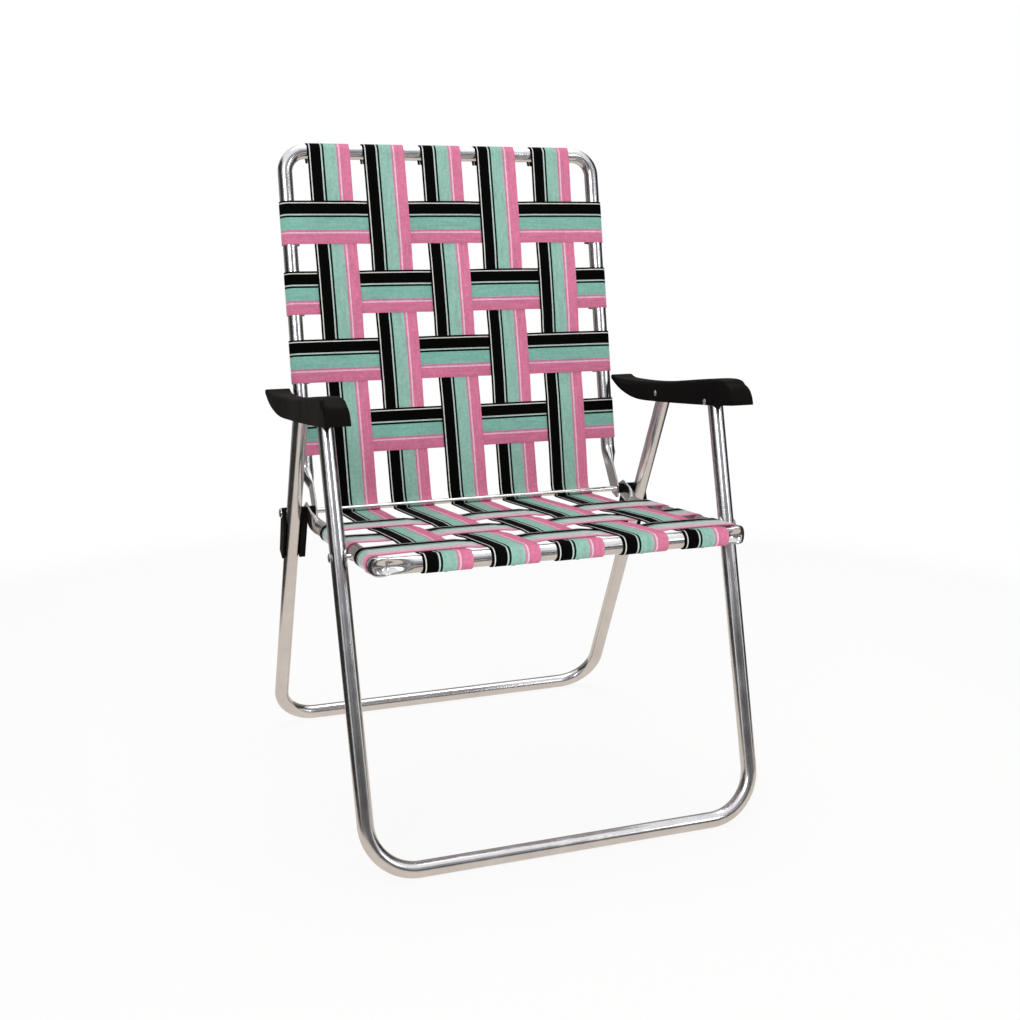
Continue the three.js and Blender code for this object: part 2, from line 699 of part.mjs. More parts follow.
// Points round a tube: centre, radius, from and to in degrees
function wrap(centre, radius, from, to, steps = 9) {
  const points = [];
  for (let i = 0; i <= steps; i++) {
    const angle = rad(THREE.MathUtils.lerp(from, to, i / steps));
    const arm = new THREE.Vector2(Math.cos(angle), Math.sin(angle));
    points.push(centre.clone().addScaledVector(arm, radius));
  }
  return points;
}

// Flat stretches over or under each crossing: place along the run, and +1 over or -1 under
function weave(crossings, level) {
  const points = [];
  const heading = Math.sign(crossings[crossings.length - 1][0] - crossings[0][0]);
  const half = heading * (webWidth / 2 + 2 * webT);
  for (const [at, over] of crossings) {
    points.push(level(at - half, over * weaveStep), level(at + half, over * weaveStep));
  }
  return points;
}

const strapPlace = (i, count, pitch) => (i - (count - 1) / 2) * pitch;
const isOver = (row, column) => ((row + column) % 2 === 0 ? 1 : -1);

// The outer straps keep a margin from the side tubes
const webPitch = (2 * (seatHalf - tubeR - webMargin) - webWidth) / (longStraps - 1);
// The lowest cross strap of the back lies just above the elbows, the top one below the bar
const elbowTurn = Math.atan2(backOffset, backElbowHeight);
const backCrossFirst = backElbowHeight + backElbowR * Math.tan(elbowTurn / 2) + backCrossGap + webWidth / 2;
const backCrossPitch = (backLength - backCrossTop - backCrossFirst) / (backCrossStraps - 1);
// The front cross strap lies just behind the bent corners
const seatCrossFront = seatCornerR + seatCrossGap + webWidth / 2;
const longPlaces = [...Array(longStraps).keys()].map(
  (i) => webShift + strapPlace(i, longStraps, webPitch));
const backCrossPlaces = [...Array(backCrossStraps).keys()].map(
  (i) => backCrossFirst + (backCrossStraps - 1 - i) * backCrossPitch);
const seatCrossPlaces = [...Array(seatCrossStraps).keys()].map(
  (i) => seatReach - seatCrossFront - (seatCrossStraps - 1 - i) * seatCrossPitch);

// Side view of the long straps, with x to the rear and y up, from the axle
const seatSlope = Math.atan(seatGrade);
const seatForward = new THREE.Vector2(-Math.cos(seatSlope), Math.sin(seatSlope));
const seatUp = new THREE.Vector2(Math.sin(seatSlope), Math.cos(seatSlope));
const seatBar = new THREE.Vector2(-seatReach, seatRise);
const seatLevel = (forward, lift) => {
  const along = (forward - seatReach) / Math.cos(seatSlope);
  return seatBar.clone().addScaledVector(seatForward, along).addScaledVector(seatUp, webLift + lift);
};
const backUp = new THREE.Vector2(Math.sin(rad(backRecline)), Math.cos(rad(backRecline)));
const backRear = new THREE.Vector2(Math.cos(rad(backRecline)), -Math.sin(rad(backRecline)));
const backLevel = (up, lift) => new THREE.Vector2()
  .addScaledVector(backUp, up).addScaledVector(backRear, backOffset - webLift - lift);

// The corner under the rod where a long strap turns from the back to the seat
const cornerTurn = Math.PI / 2 + rad(backRecline) - seatSlope;
const cornerAngle = Math.PI - cornerTurn;
const backFoot = backLevel(0, 0);
const seatFoot = seatLevel(0, 0);
const acrossFeet = seatFoot.clone().sub(backFoot);
const cornerUp = acrossFeet.dot(seatUp) / backUp.dot(seatUp);
const cornerPoint = backFoot.clone().addScaledVector(backUp, cornerUp);
const cornerBisector = backUp.clone().add(seatForward).normalize();
const cornerDrop = webCornerR / Math.cos(cornerAngle / 2);
const cornerCentre = cornerPoint.clone().addScaledVector(cornerBisector, cornerDrop);
const cornerFrom = THREE.MathUtils.radToDeg(Math.atan2(backRear.y, backRear.x));
const cornerTo = THREE.MathUtils.radToDeg(Math.atan2(-seatUp.y, -seatUp.x));
const cornerSplit = (cornerFrom + cornerTo) / 2;
const splitGap = THREE.MathUtils.radToDeg(clear / webCornerR) / 2;

const backBarLocal = backLevel(backLength, -webLift);
const barTop = THREE.MathUtils.radToDeg(Math.atan2(-backRear.y, -backRear.x));

// Shape x to chair Y, shape y to chair Z, depth across the chair
const sideView = new THREE.Matrix4().makeBasis(
  new THREE.Vector3(0, 1, 0), new THREE.Vector3(0, 0, 1), new THREE.Vector3(1, 0, 0));

function tailFrom(points) {
  const last = points[points.length - 1];
  const along = last.clone().sub(points[points.length - 2]).normalize();
  return last.clone().addScaledVector(along, webTail);
}

// On the seat the long straps drift a little to the right on their way to the front bar
const driftAt = (forward) => (seatWebDrift * Math.max(0, forward)) / seatReach;

function drift(geometry) {
  const p = geometry.getAttribute('position');
  for (let i = 0; i < p.count; i++) p.setX(i, p.getX(i) + driftAt(-p.getY(i)));
}

longPlaces.forEach((place, column) => {
  const over = (row) => -isOver(row, column);
  const backCrossings = backCrossPlaces.map((at, row) => [at, over(row)]);
  const seatCrossings = seatCrossPlaces.map((at, row) => [at, over(row)]);
  const topWrap = wrap(backBarLocal, webLift, barTop - webWrapTurn, barTop);
  const backPoints = [
    ...topWrap,
    ...weave(backCrossings, backLevel),
    ...wrap(cornerCentre, webCornerR, cornerFrom, cornerSplit + splitGap, 3),
  ];
  backPoints.unshift(tailFrom([...topWrap].reverse()));
  const frontTop = 90 - THREE.MathUtils.radToDeg(seatSlope);
  const frontWrap = wrap(seatBar, webLift, frontTop, frontTop + webWrapTurn);
  const seatPoints = [
    ...wrap(cornerCentre, webCornerR, cornerSplit - splitGap, cornerTo, 3),
    ...weave(seatCrossings, seatLevel),
    ...frontWrap,
    tailFrom(frontWrap),
  ];
  for (const [name, points] of [['back', backPoints], ['seat', seatPoints]]) {
    const geometry = strap(points).applyMatrix4(sideView);
    geometry.translate(place - webWidth / 2, 0, 0);
    if (name === 'seat') drift(geometry);
    const mesh = piece(chair, `${name}_strap_${column + 1}`, geometry, 'webbing');
    mesh.position.copy(axle);
  }
});

// Cross straps, drawn across the chair with x to the right and y towards the weave's upper face

function crossStrapPoints(half, row, shift) {
  const level = (x, lift) => new THREE.Vector2(x, webLift + lift);
  const crossings = longPlaces.map((place, column) => [place + shift, isOver(row, column)]);
  const left = new THREE.Vector2(-half, 0);
  const right = new THREE.Vector2(half, 0);
  const leftWrap = wrap(left, webLift, 90 + webWrapTurn, 90);
  const rightWrap = wrap(right, webLift, 90, 90 - webWrapTurn);
  return [
    tailFrom([...leftWrap].reverse()),
    ...leftWrap,
    ...weave(crossings, level),
    ...rightWrap,
    tailFrom(rightWrap),
  ];
}

backCrossPlaces.forEach((at, row) => {
  const geometry = strap(crossStrapPoints(backHalf, row, 0));
  const mesh = piece(back, `back_cross_strap_${row + 1}`, geometry, 'webbing');
  // Upper face of the weave to the front of the back, width along the back
  const turn = new THREE.Matrix4().makeBasis(
    new THREE.Vector3(1, 0, 0), new THREE.Vector3(0, -1, 0), new THREE.Vector3(0, 0, -1));
  geometry.applyMatrix4(turn);
  mesh.position.set(0, backOffset, at + webWidth / 2);
});

seatCrossPlaces.forEach((at, row) => {
  const geometry = strap(crossStrapPoints(seatHalf, row, driftAt(at)));
  const rail = seatLevel(at, -webLift);
  const turn = new THREE.Matrix4().makeBasis(
    new THREE.Vector3(1, 0, 0), new THREE.Vector3(0, 0, 1), new THREE.Vector3(0, -1, 0));
  geometry.applyMatrix4(turn);
  geometry.translate(0, webWidth / 2, 0);
  const mesh = piece(seat, `seat_cross_strap_${row + 1}`, geometry, 'webbing');
  mesh.position.set(0, rail.x, rail.y);
  mesh.rotation.x = -seatSlope;
});

export default chair;
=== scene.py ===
import math
import bpy
import numpy as np
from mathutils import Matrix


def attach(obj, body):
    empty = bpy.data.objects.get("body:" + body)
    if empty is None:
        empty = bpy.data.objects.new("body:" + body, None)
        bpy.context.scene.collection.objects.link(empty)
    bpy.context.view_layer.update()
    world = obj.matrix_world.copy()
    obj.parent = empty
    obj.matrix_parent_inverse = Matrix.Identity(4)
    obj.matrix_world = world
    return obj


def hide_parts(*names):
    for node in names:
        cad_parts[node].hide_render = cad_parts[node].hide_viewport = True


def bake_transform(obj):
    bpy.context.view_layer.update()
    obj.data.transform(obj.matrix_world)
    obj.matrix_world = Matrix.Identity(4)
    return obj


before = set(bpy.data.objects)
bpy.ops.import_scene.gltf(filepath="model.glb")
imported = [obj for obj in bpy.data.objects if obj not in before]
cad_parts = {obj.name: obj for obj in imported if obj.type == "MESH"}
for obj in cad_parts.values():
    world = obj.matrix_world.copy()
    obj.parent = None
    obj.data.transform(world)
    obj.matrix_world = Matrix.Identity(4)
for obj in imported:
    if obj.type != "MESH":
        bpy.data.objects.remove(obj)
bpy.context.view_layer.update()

mm = 0.001

# edges that turn by more than this many degrees stay crisp
creaseAngle = 40.0

# where the chair's lines run, in millimetres, seen from the side as (rearwards, up)
layout = {"legSpread": 520.0, "frontLean": 16.1, "rearLean": 26.5, "footCentre": 9.176,
          "axleHeight": 346.2, "axleBehind": 13.3, "armFrontHeight": 498.0, "armRearHeight": 492.0,
          "seatHalf": 218.5, "legOutside": 27.5, "frontInset": 6.0,
          "recline": 11.0, "backOffset": 25.4, "backLength": 473.5,
          "seatReach": 345.8, "seatRise": 10.4, "seatDip": 12.21, "seatDipReach": 46.8,
          "seatRivetHeight": 350.74}
tube = {"radius": 9.5, "wall": 1.2, "sides": 40, "step": 9.0, "bendStep": math.radians(5)}

frontTan = math.tan(math.radians(layout["frontLean"]))
rearTan = math.tan(math.radians(layout["rearLean"]))
rearHalf = layout["seatHalf"] + layout["legOutside"]
frontHalf = rearHalf - layout["frontInset"]


def onFrontLeg(z):
    return np.array([-layout["legSpread"] / 2 + (z - layout["footCentre"]) * frontTan, z])


def onRearLeg(z):
    return np.array([layout["legSpread"] / 2 - (z - layout["footCentre"]) * rearTan, z])


armFront = onFrontLeg(layout["armFrontHeight"])
armRear = onRearLeg(layout["armRearHeight"])
rearLean = math.radians(layout["rearLean"])
legUp = np.array([-math.sin(rearLean), math.cos(rearLean)])
legRear = np.array([math.cos(rearLean), math.sin(rearLean)])
axle = onRearLeg(layout["axleHeight"]) + np.array([layout["axleBehind"] / math.cos(rearLean), 0.0])
recline = math.radians(layout["recline"])
backUp = np.array([math.sin(recline), math.cos(recline)])
backRear = np.array([math.cos(recline), -math.sin(recline)])
seatFall = layout["seatRise"] + layout["seatDip"]
seatSlope = math.atan(seatFall / (layout["seatReach"] - layout["seatDipReach"]))
seatForward = np.array([-math.cos(seatSlope), math.sin(seatSlope)])
seatUp = np.array([math.sin(seatSlope), math.cos(seatSlope)])
seatBar = np.array([-layout["seatReach"], layout["seatRise"]])
acrossChair = np.array([1.0, 0.0, 0.0])


# a side-view point (rearwards, up) from the axle, put at x across the chair
def fromAxle(x, flat):
    flat = np.asarray(flat, float)
    return np.stack([np.broadcast_to(x, flat.shape[:-1]), flat[..., 0] + axle[0], flat[..., 1] + axle[1]], -1)


def sideways(flat):
    return np.array([0.0, flat[0], flat[1]])


def unit(v):
    return v / np.linalg.norm(v, axis=-1, keepdims=True)


def ease(t):
    t = np.clip(t, 0.0, 1.0)
    return t * t * (3 - 2 * t)


# distance along a line of points, from its start
def distanceAlong(points):
    return np.concatenate([[0.0], np.cumsum(np.linalg.norm(np.diff(points, axis=0), axis=1))])


# a smooth mesh with a UV map, crisp where it turns by more than the sharp angle
def smoothMesh(name, points, faces, uv, sharp):
    mesh = bpy.data.meshes.new(name)
    mesh.from_pydata(points, [], faces)
    mesh.uv_layers.new(name="surface").data.foreach_set("uv", uv)
    mesh.polygons.foreach_set("use_smooth", np.ones(len(mesh.polygons), bool))
    mesh.set_sharp_from_angle(angle=math.radians(sharp))
    mesh.update()
    return mesh


# grid of points, rows along and columns around, made into quads with a UV map: v by row, u by column or even;
# the columns close on themselves, and the end rows are capped unless the rows close too
def skinGrid(name, grid, v, u=None, closeRows=False, sharp=creaseAngle):
    rows, cols = grid.shape[:2]
    u = np.linspace(0, 1, cols + 1) if u is None else u
    r = np.arange(rows if closeRows else rows - 1)
    rr, cc = np.meshgrid(r, np.arange(cols), indexing="ij")
    cornerRow = np.stack([rr, rr + 1, rr + 1, rr], -1).reshape(-1, 4)
    cornerCol = np.stack([cc, cc, cc + 1, cc + 1], -1).reshape(-1, 4)
    quads = (cornerRow % rows) * cols + cornerCol % cols
    points = grid.reshape(-1, 3) * mm
    p = points[quads]
    volume = np.einsum("ij,ij->i", p[:, 0], np.cross(p[:, 1], p[:, 2])).sum()
    volume += np.einsum("ij,ij->i", p[:, 0], np.cross(p[:, 2], p[:, 3])).sum()
    if volume < 0:
        quads, cornerRow, cornerCol = quads[:, ::-1], cornerRow[:, ::-1], cornerCol[:, ::-1]
    faces = quads.tolist()
    loopUv = np.stack([u[cornerCol], v[cornerRow]], -1).reshape(-1, 2)
    if not closeRows:
        first = np.arange(cols)
        last = first + (rows - 1) * cols
        if volume < 0:
            last = last[::-1]
        else:
            first = first[::-1]
        faces += [first.tolist(), last.tolist()]
        firstUv = np.stack([u[first % cols], np.full(cols, v[0])], -1)
        lastUv = np.stack([u[last % cols], np.full(cols, v[rows - 1])], -1)
        loopUv = np.concatenate([loopUv, firstUv, lastUv])
    return smoothMesh(name, points.tolist(), faces, loopUv.astype(np.float32).ravel(), sharp)


# the mesh as a piece of the chair: finish, body it moves with and nodes it stands for
def fitPiece(name, mesh, material, slotName, body=None, nodes=()):
    piece = bpy.data.objects.new(name, mesh)
    bpy.context.scene.collection.objects.link(piece)
    mesh.materials.append(material)
    if body:
        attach(piece, body)
    if nodes:
        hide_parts(*nodes)
    return piece


# several meshes as one, each with its own part of the UV map
def joinMeshes(name, meshes):
    verts, faces, loops = [], [], []
    offset = 0
    for m in meshes:
        co = np.empty(len(m.vertices) * 3)
        m.vertices.foreach_get("co", co)
        verts += co.reshape(-1, 3).tolist()
        faces += [[i + offset for i in f.vertices] for f in m.polygons]
        uv = np.empty(len(m.loops) * 2, np.float32)
        m.uv_layers[0].data.foreach_get("uv", uv)
        loops.append(uv)
        offset += len(m.vertices)
    return smoothMesh(name, verts, faces, np.concatenate(loops), creaseAngle)


# finishes: trees of ordinary shader nodes, with patterns on each piece's own UV map or Object coordinates
class Nodes:
    def __init__(self, owner):
        owner.use_nodes = True
        self.owner, self.tree = owner, owner.node_tree
        self.shader = self.tree.nodes.get("Principled BSDF")

    def add(self, kind, inputs=(), **settings):
        node = self.tree.nodes.new(kind)
        for key, value in settings.items():
            setattr(node, key, value)
        for key, value in dict(inputs).items():
            self.feed(node.inputs[key], value)
        return node

    def feed(self, socket, value):
        if isinstance(value, bpy.types.NodeSocket):
            self.tree.links.new(value, socket)
        elif isinstance(value, bpy.types.Node):
            self.tree.links.new(value.outputs[0], socket)
        else:
            socket.default_value = value

    def sum(self, op, a, b=0.0, c=0.0):
        return self.add("ShaderNodeMath", {0: a, 1: b, 2: c}, operation=op).outputs[0]

    def spread(self, value, low, high, fromLow=0.0, fromHigh=1.0):
        node = self.add("ShaderNodeMapRange", {"Value": value, "From Min": fromLow, "From Max": fromHigh,
                                               "To Min": low, "To Max": high})
        return node.outputs["Result"]

    # noise stays mostly between 0.3 and 0.7, which become low and high
    def vary(self, noise, low, high):
        return self.spread(noise, low, high, 0.3, 0.7)

    def ramp(self, value, stops, interpolation="LINEAR"):
        node = self.add("ShaderNodeValToRGB", {"Fac": value})
        band = node.color_ramp
        band.interpolation = interpolation
        while len(band.elements) < len(stops):
            band.elements.new(1.0)
        for element, (at, colour) in zip(band.elements, stops):
            element.position = at
            element.color = (*colour, 1.0)
        return node.outputs["Color"]

    def noise(self, vector, scale, detail=3.0, rough=0.5):
        return self.add("ShaderNodeTexNoise", {"Vector": vector, "Scale": scale, "Detail": detail,
                                               "Roughness": rough}).outputs["Fac"]

    def uv(self):
        return self.add("ShaderNodeUVMap", uv_map="surface").outputs["UV"]

    def objectPlace(self):
        return self.add("ShaderNodeTexCoord").outputs["Object"]

    def stretch(self, vector, scale):
        return self.add("ShaderNodeMapping", {"Vector": vector, "Scale": scale}).outputs["Vector"]

    def bump(self, height, strength, distance):
        inputs = {"Height": height, "Strength": strength, "Distance": distance}
        return self.add("ShaderNodeBump", inputs).outputs[0]

    def finish(self, **sockets):
        for key, value in sockets.items():
            self.feed(self.shader.inputs[key.replace("_", " ")], value)
        return self.owner

    # 1 for what the camera sees, straight or through shine and glass
    def seenRay(self):
        ray = self.add("ShaderNodeLightPath").outputs
        mirrored = self.sum("MAXIMUM", ray["Is Camera Ray"], ray["Is Glossy Ray"])
        return self.sum("MAXIMUM", mirrored, ray["Is Transmission Ray"])

    def show(self, shader, output="Material Output"):
        self.tree.links.new(shader.outputs[0], self.tree.nodes[output].inputs["Surface"])


# a colour as a picture writes it, 0 to 255, made linear
def linear(*srgb):
    s = np.array(srgb) / 255.0
    return tuple(np.where(s <= 0.04045, s / 12.92, ((s + 0.055) / 1.055) ** 2.4).tolist())


# drawn aluminium: lengthwise die lines, faint blotches and small pits in the shine
drawn = {"lines": (90.0, 5.0, 1.0), "blotches": 26.0, "pits": 700.0,
         "lineTone": 0.35, "blotchTone": 0.65, "toneEnds": (0.3, 0.7), "lineRough": (-0.03, 0.05),
         "lineDepth": 0.6, "pitDepth": 0.4, "bump": 0.12, "bumpReach": 0.0001}


def drawnMetal(name, dark, light, roughLow, roughHigh):
    n = Nodes(bpy.data.materials.new(name))
    place = n.objectPlace()
    lines = n.noise(n.stretch(n.uv(), drawn["lines"]), 1.0, 4.0, 0.6)
    blotch = n.noise(place, drawn["blotches"], 4.0, 0.6)
    pits = n.noise(place, drawn["pits"], 2.0, 0.5)
    mixed = n.sum("MULTIPLY_ADD", lines, drawn["lineTone"], n.sum("MULTIPLY", blotch, drawn["blotchTone"]))
    tone = n.ramp(mixed, list(zip(drawn["toneEnds"], (dark, light))))
    rough = n.sum("ADD", n.vary(blotch, roughLow, roughHigh), n.vary(lines, *drawn["lineRough"]))
    height = n.sum("MULTIPLY_ADD", lines, drawn["lineDepth"], n.sum("MULTIPLY", pits, drawn["pitDepth"]))
    normal = n.bump(height, drawn["bump"], drawn["bumpReach"])
    return n.finish(Base_Color=tone, Metallic=1.0, Roughness=rough, Normal=normal)


# moulded black plastic: fine grain, soft colour drift and pale scuffs
moulded = {"grain": 1100.0, "drift": 18.0, "scuffs": (160.0, 40.0, 160.0), "scuffEnds": (0.62, 0.8),
           "wearTone": 0.35, "driftTone": 0.5, "toneEnds": (0.1, 1.0), "wearRough": 0.08,
           "wearDepth": -0.5, "specular": 0.02, "bump": 0.16, "bumpReach": 0.0002}


def mouldedPlastic(name, base, worn, roughLow, roughHigh):
    n = Nodes(bpy.data.materials.new(name))
    place = n.objectPlace()
    grain = n.noise(place, moulded["grain"], 2.0, 0.5)
    drift = n.noise(place, moulded["drift"], 3.0, 0.55)
    scuff = n.noise(n.stretch(place, moulded["scuffs"]), 1.0, 5.0, 0.7)
    wear = n.spread(scuff, 0.0, 1.0, *moulded["scuffEnds"])
    mixed = n.sum("MULTIPLY_ADD", wear, moulded["wearTone"], n.sum("MULTIPLY", drift, moulded["driftTone"]))
    tone = n.ramp(mixed, list(zip(moulded["toneEnds"], (base, worn))))
    rough = n.sum("ADD", n.vary(drift, roughLow, roughHigh), n.sum("MULTIPLY", wear, moulded["wearRough"]))
    height = n.sum("ADD", grain, n.sum("MULTIPLY", wear, moulded["wearDepth"]))
    normal = n.bump(height, moulded["bump"], moulded["bumpReach"])
    return n.finish(Base_Color=tone, Roughness=rough, Specular_IOR_Level=moulded["specular"], Normal=normal)


# striped webbing: u runs across the tape from its black edge, v along it in metres
webbing = {"width": 57.0, "thick": 1.2, "ribs": 46, "weft": 0.0017, "jog": 0.0022,
           "stripes": [(0.0, (9, 9, 10)), (0.04, (216, 216, 210)), (0.064, (8, 8, 9)),
                       (0.308, (186, 202, 195)), (0.338, (12, 30, 27)), (0.384, "teal"),
                       (0.672, (204, 130, 157)), (0.722, (232, 188, 206)), (0.754, (212, 122, 154))],
           # painted sheen: each run's teal and tone paint the yarn's sheen into the base colour; sheen is the
           # shader's own
           "runs": {"long": {"teal": (145, 187, 174), "tone": 1.0, "sheen": 0.0},
                    "cross": {"teal": (133, 186, 173), "tone": 0.9, "sheen": 1.0}},
           "weftRelief": (0.55, 1.0), "knitShade": (0.80, 1.06), "driftShade": (0.95, 1.05),
           "fibreShade": (0.88, 1.12), "streakShade": (0.89, 1.11), "mottleShade": (0.9, 1.1),
           "drift": 14.0, "fibres": (300.0, 60.0, 1.0), "streaks": (26.0, 24.0, 1.0), "mottle": 240.0,
           "rough": (0.48, 0.66), "specular": 0.006, "sheenRough": 0.3, "sheenEnds": (0.02, 0.25),
           "bump": 0.35, "bumpReach": 0.0003}


# the yarn's sheen, painted: the long tapes' teal is painted a little paler, as seen on the back, and the
# cross tapes' shading a tenth darker; the coloured yarn of cross tapes also gets the shader's sheen and goes
# pale where the seat is seen at a low angle
def stripedWebbing(name, run):
    n = Nodes(bpy.data.materials.new(name))
    stripes = [(at, linear(*(run["teal"] if c == "teal" else c))) for at, c in webbing["stripes"]]
    split = n.add("ShaderNodeSeparateXYZ", {0: n.uv()})
    u, v = split.outputs[0], split.outputs[1]
    ribPhase = n.sum("MULTIPLY", u, webbing["ribs"] * 2 * math.pi)
    weftPhase = n.sum("MULTIPLY", v, 2 * math.pi / webbing["weft"])
    rib = n.sum("ABSOLUTE", n.sum("SINE", n.sum("MULTIPLY", ribPhase, 0.5)))
    ribNumber = n.sum("FLOOR", n.sum("MULTIPLY", u, webbing["ribs"]))
    row = n.sum("SINE", n.sum("MULTIPLY_ADD", ribNumber, math.pi, weftPhase))
    knit = n.sum("MULTIPLY", rib, n.spread(row, *webbing["weftRelief"], -1.0, 1.0))
    jog = n.sum("MULTIPLY", n.sum("SINE", weftPhase), webbing["jog"])
    threads = n.ramp(n.sum("ADD", u, jog), stripes, "CONSTANT")
    place = n.objectPlace()
    fibre = n.noise(n.stretch(n.uv(), webbing["fibres"]), 1.0, 3.0, 0.6)
    streakLow, streakHigh = webbing["streakShade"]
    # the run's tone scales the streaks: painted sheen, a tenth darker on the cross tapes
    shades = [(n.noise(place, webbing["drift"], 3.0, 0.5), webbing["driftShade"]),
              (fibre, webbing["fibreShade"]),
              (n.noise(n.stretch(n.uv(), webbing["streaks"]), 1.0, 3.0, 0.65),
               (streakLow * run["tone"], streakHigh * run["tone"])),
              (n.noise(place, webbing["mottle"], 2.0, 0.6), webbing["mottleShade"])]
    # painted shade: the knit's grooves between ribs and rows are painted darker and its ridges a little
    # lighter
    shade = n.spread(knit, *webbing["knitShade"])
    for noise, ends in shades:
        shade = n.sum("MULTIPLY", shade, n.vary(noise, *ends))
    mixInputs = {"Factor": 1.0, 6: threads, 7: shade}
    toned = n.add("ShaderNodeMix", mixInputs, data_type="RGBA", blend_type="MULTIPLY")
    paleness = n.add("ShaderNodeRGBToBW", {0: threads})
    sheen = n.spread(paleness.outputs[0], 0.0, run["sheen"], *webbing["sheenEnds"])
    return n.finish(Base_Color=toned.outputs[2], Roughness=n.vary(fibre, *webbing["rough"]),
                    Specular_IOR_Level=webbing["specular"], Sheen_Weight=sheen,
                    Sheen_Roughness=webbing["sheenRough"],
                    Normal=n.bump(knit, webbing["bump"], webbing["bumpReach"]))


frontMetal = drawnMetal("drawn aluminium", (0.66, 0.66, 0.68), (0.82, 0.82, 0.83), 0.16, 0.25)
rodMetal = drawnMetal("bright rod steel", (0.72, 0.71, 0.69), (0.86, 0.85, 0.83), 0.12, 0.22)
rivetMetal = drawnMetal("bright rivet", (0.70, 0.70, 0.70), (0.88, 0.88, 0.88), 0.15, 0.28)
blackMoulding = mouldedPlastic("black moulding", (0.003, 0.003, 0.003), (0.016, 0.014, 0.012), 0.36, 0.5)
stripedTape = {run: stripedWebbing(f"striped webbing {run}", how) for run, how in webbing["runs"].items()}
print("finishes made")


# shares of the way along a straight run, at the tube's step
def straightSteps(start, end, withEnd):
    count = max(2, int(np.linalg.norm(end - start) / tube["step"]))
    return np.linspace(0, 1, count, endpoint=withEnd)[:, None]


# a bent line: straight runs joined by arcs that touch both; gives points, directions and distance along
def bentLine(corners, radii):
    corners = [np.asarray(c, float) for c in corners]
    points, dirs = [], []
    start = corners[0]
    for i in range(1, len(corners) - 1):
        before = unit(corners[i] - corners[i - 1])
        after = unit(corners[i + 1] - corners[i])
        turn = math.acos(np.clip(before @ after, -1, 1))
        reach = radii[i - 1] * math.tan(turn / 2)
        bendAt = corners[i] - before * reach
        run = straightSteps(start, bendAt, False)
        points.append(start + (bendAt - start) * run)
        dirs.append(np.broadcast_to(before, (len(run), 3)))
        centre = corners[i] + unit(after - before) * radii[i - 1] / math.cos(turn / 2)
        axis = unit(np.cross(before, after))
        angle = np.linspace(0, turn, max(6, int(turn / tube["bendStep"])), endpoint=False)[:, None]
        spoke = bendAt - centre
        points.append(centre + spoke * np.cos(angle) + np.cross(axis, spoke) * np.sin(angle))
        dirs.append(before * np.cos(angle) + np.cross(axis, before) * np.sin(angle))
        start = corners[i] + after * reach
    run = straightSteps(start, corners[-1], True)
    points.append(start + (corners[-1] - start) * run)
    dirs.append(np.broadcast_to(unit(corners[-1] - start), (len(run), 3)))
    points, dirs = np.concatenate(points), np.concatenate(dirs)
    return points, dirs, distanceAlong(points)


# hollow tube: a superellipse section (half sizes a, b; square 2 is round) carried along, out on the outside
# and back down the bore; shift moves it along its first axis e1, and dent pushes that side in by the cube of
# the cosine
def hollowTube(name, points, dirs, along, e1, a, b, square=2.0, shift=0.0, dent=0.0):
    e2 = np.cross(dirs, e1)
    angle = np.linspace(0, 2 * math.pi, tube["sides"], endpoint=False)[None, :]
    c, s = np.cos(angle), np.sin(angle)
    sizes = (a, b, square, shift, dent)
    a, b, square, shift, dent = [np.broadcast_to(np.asarray(x, float), along.shape)[:, None] for x in sizes]

    def rings(wall):
        across = (a - wall) * np.sign(c) * np.abs(c) ** (2 / square) + shift - dent * np.clip(c, 0, 1) ** 3
        upward = (b - wall) * np.sign(s) * np.abs(s) ** (2 / square)
        return points[:, None, :] + e1[:, None, :] * across[..., None] + e2[:, None, :] * upward[..., None]

    grid = np.concatenate([rings(0.0), rings(tube["wall"])[::-1]])
    v = np.concatenate([along, along[::-1], along[:1]]) * mm
    return skinGrid(name, grid, v, closeRows=True)


# leg frames: a U in a leaning plane, its bar on the floor
legs = {"front": {"bend": 58.0, "top": 12.0, "body": "front_legs", "node": "front_leg_frame"},
        "rear": {"bend": 52.0, "top": 5.54, "body": "rear_legs", "node": "rear_leg_frame"}}


def legFrame(which):
    part = legs[which]
    sign = 1 if which == "front" else -1
    lean = math.radians(layout[which + "Lean"])
    pivot = armFront if which == "front" else armRear
    foot = np.array([-sign * layout["legSpread"] / 2, tube["radius"]])
    upward = np.array([sign * math.sin(lean), math.cos(lean)])
    pivotAlong = (pivot[1] - foot[1]) / math.cos(lean)
    length = pivotAlong + part["top"]
    halfFoot = frontHalf if which == "front" else rearHalf
    halfTop = halfFoot + (rearHalf - halfFoot) * length / pivotAlong
    top = foot + upward * length
    corners = [[-halfTop, *top], [-halfFoot, *foot], [halfFoot, *foot], [halfTop, *top]]
    points, dirs, along = bentLine(corners, [part["bend"], part["bend"]])
    normal = np.array([0.0, upward[1], -upward[0]])
    e1 = np.broadcast_to(normal, points.shape)
    mesh = hollowTube(which + "LegTube", points, dirs, along, e1, tube["radius"], tube["radius"])
    fitPiece(which + "LegTube", mesh, frontMetal, "tube", part["body"], [part["node"]])


legFrame("front")
legFrame("rear")
print("leg frames bent")

# flattened ends of the back and seat tubes: thin tongues with a rounded tip, drawn out over a taper
tongue = {"thick": 3.6, "wide": 25.0, "edge": 12.5, "square": 4.0, "tipRoom": 0.8}


def tongueShape(fromEnd, sideShift, length, taper):
    flat = 1 - ease((fromEnd - length) / taper)
    a = tube["radius"] + (tongue["thick"] / 2 - tube["radius"]) * flat
    b = tube["radius"] + (tongue["wide"] / 2 - tube["radius"]) * flat
    tip = np.clip(1 - fromEnd / tongue["edge"], 0, 1)
    b = np.maximum(b * np.sqrt(1 - tip ** 2), tube["wall"] + tongue["tipRoom"])
    return a, b, 2.0 + (tongue["square"] - 2.0) * flat, sideShift * flat


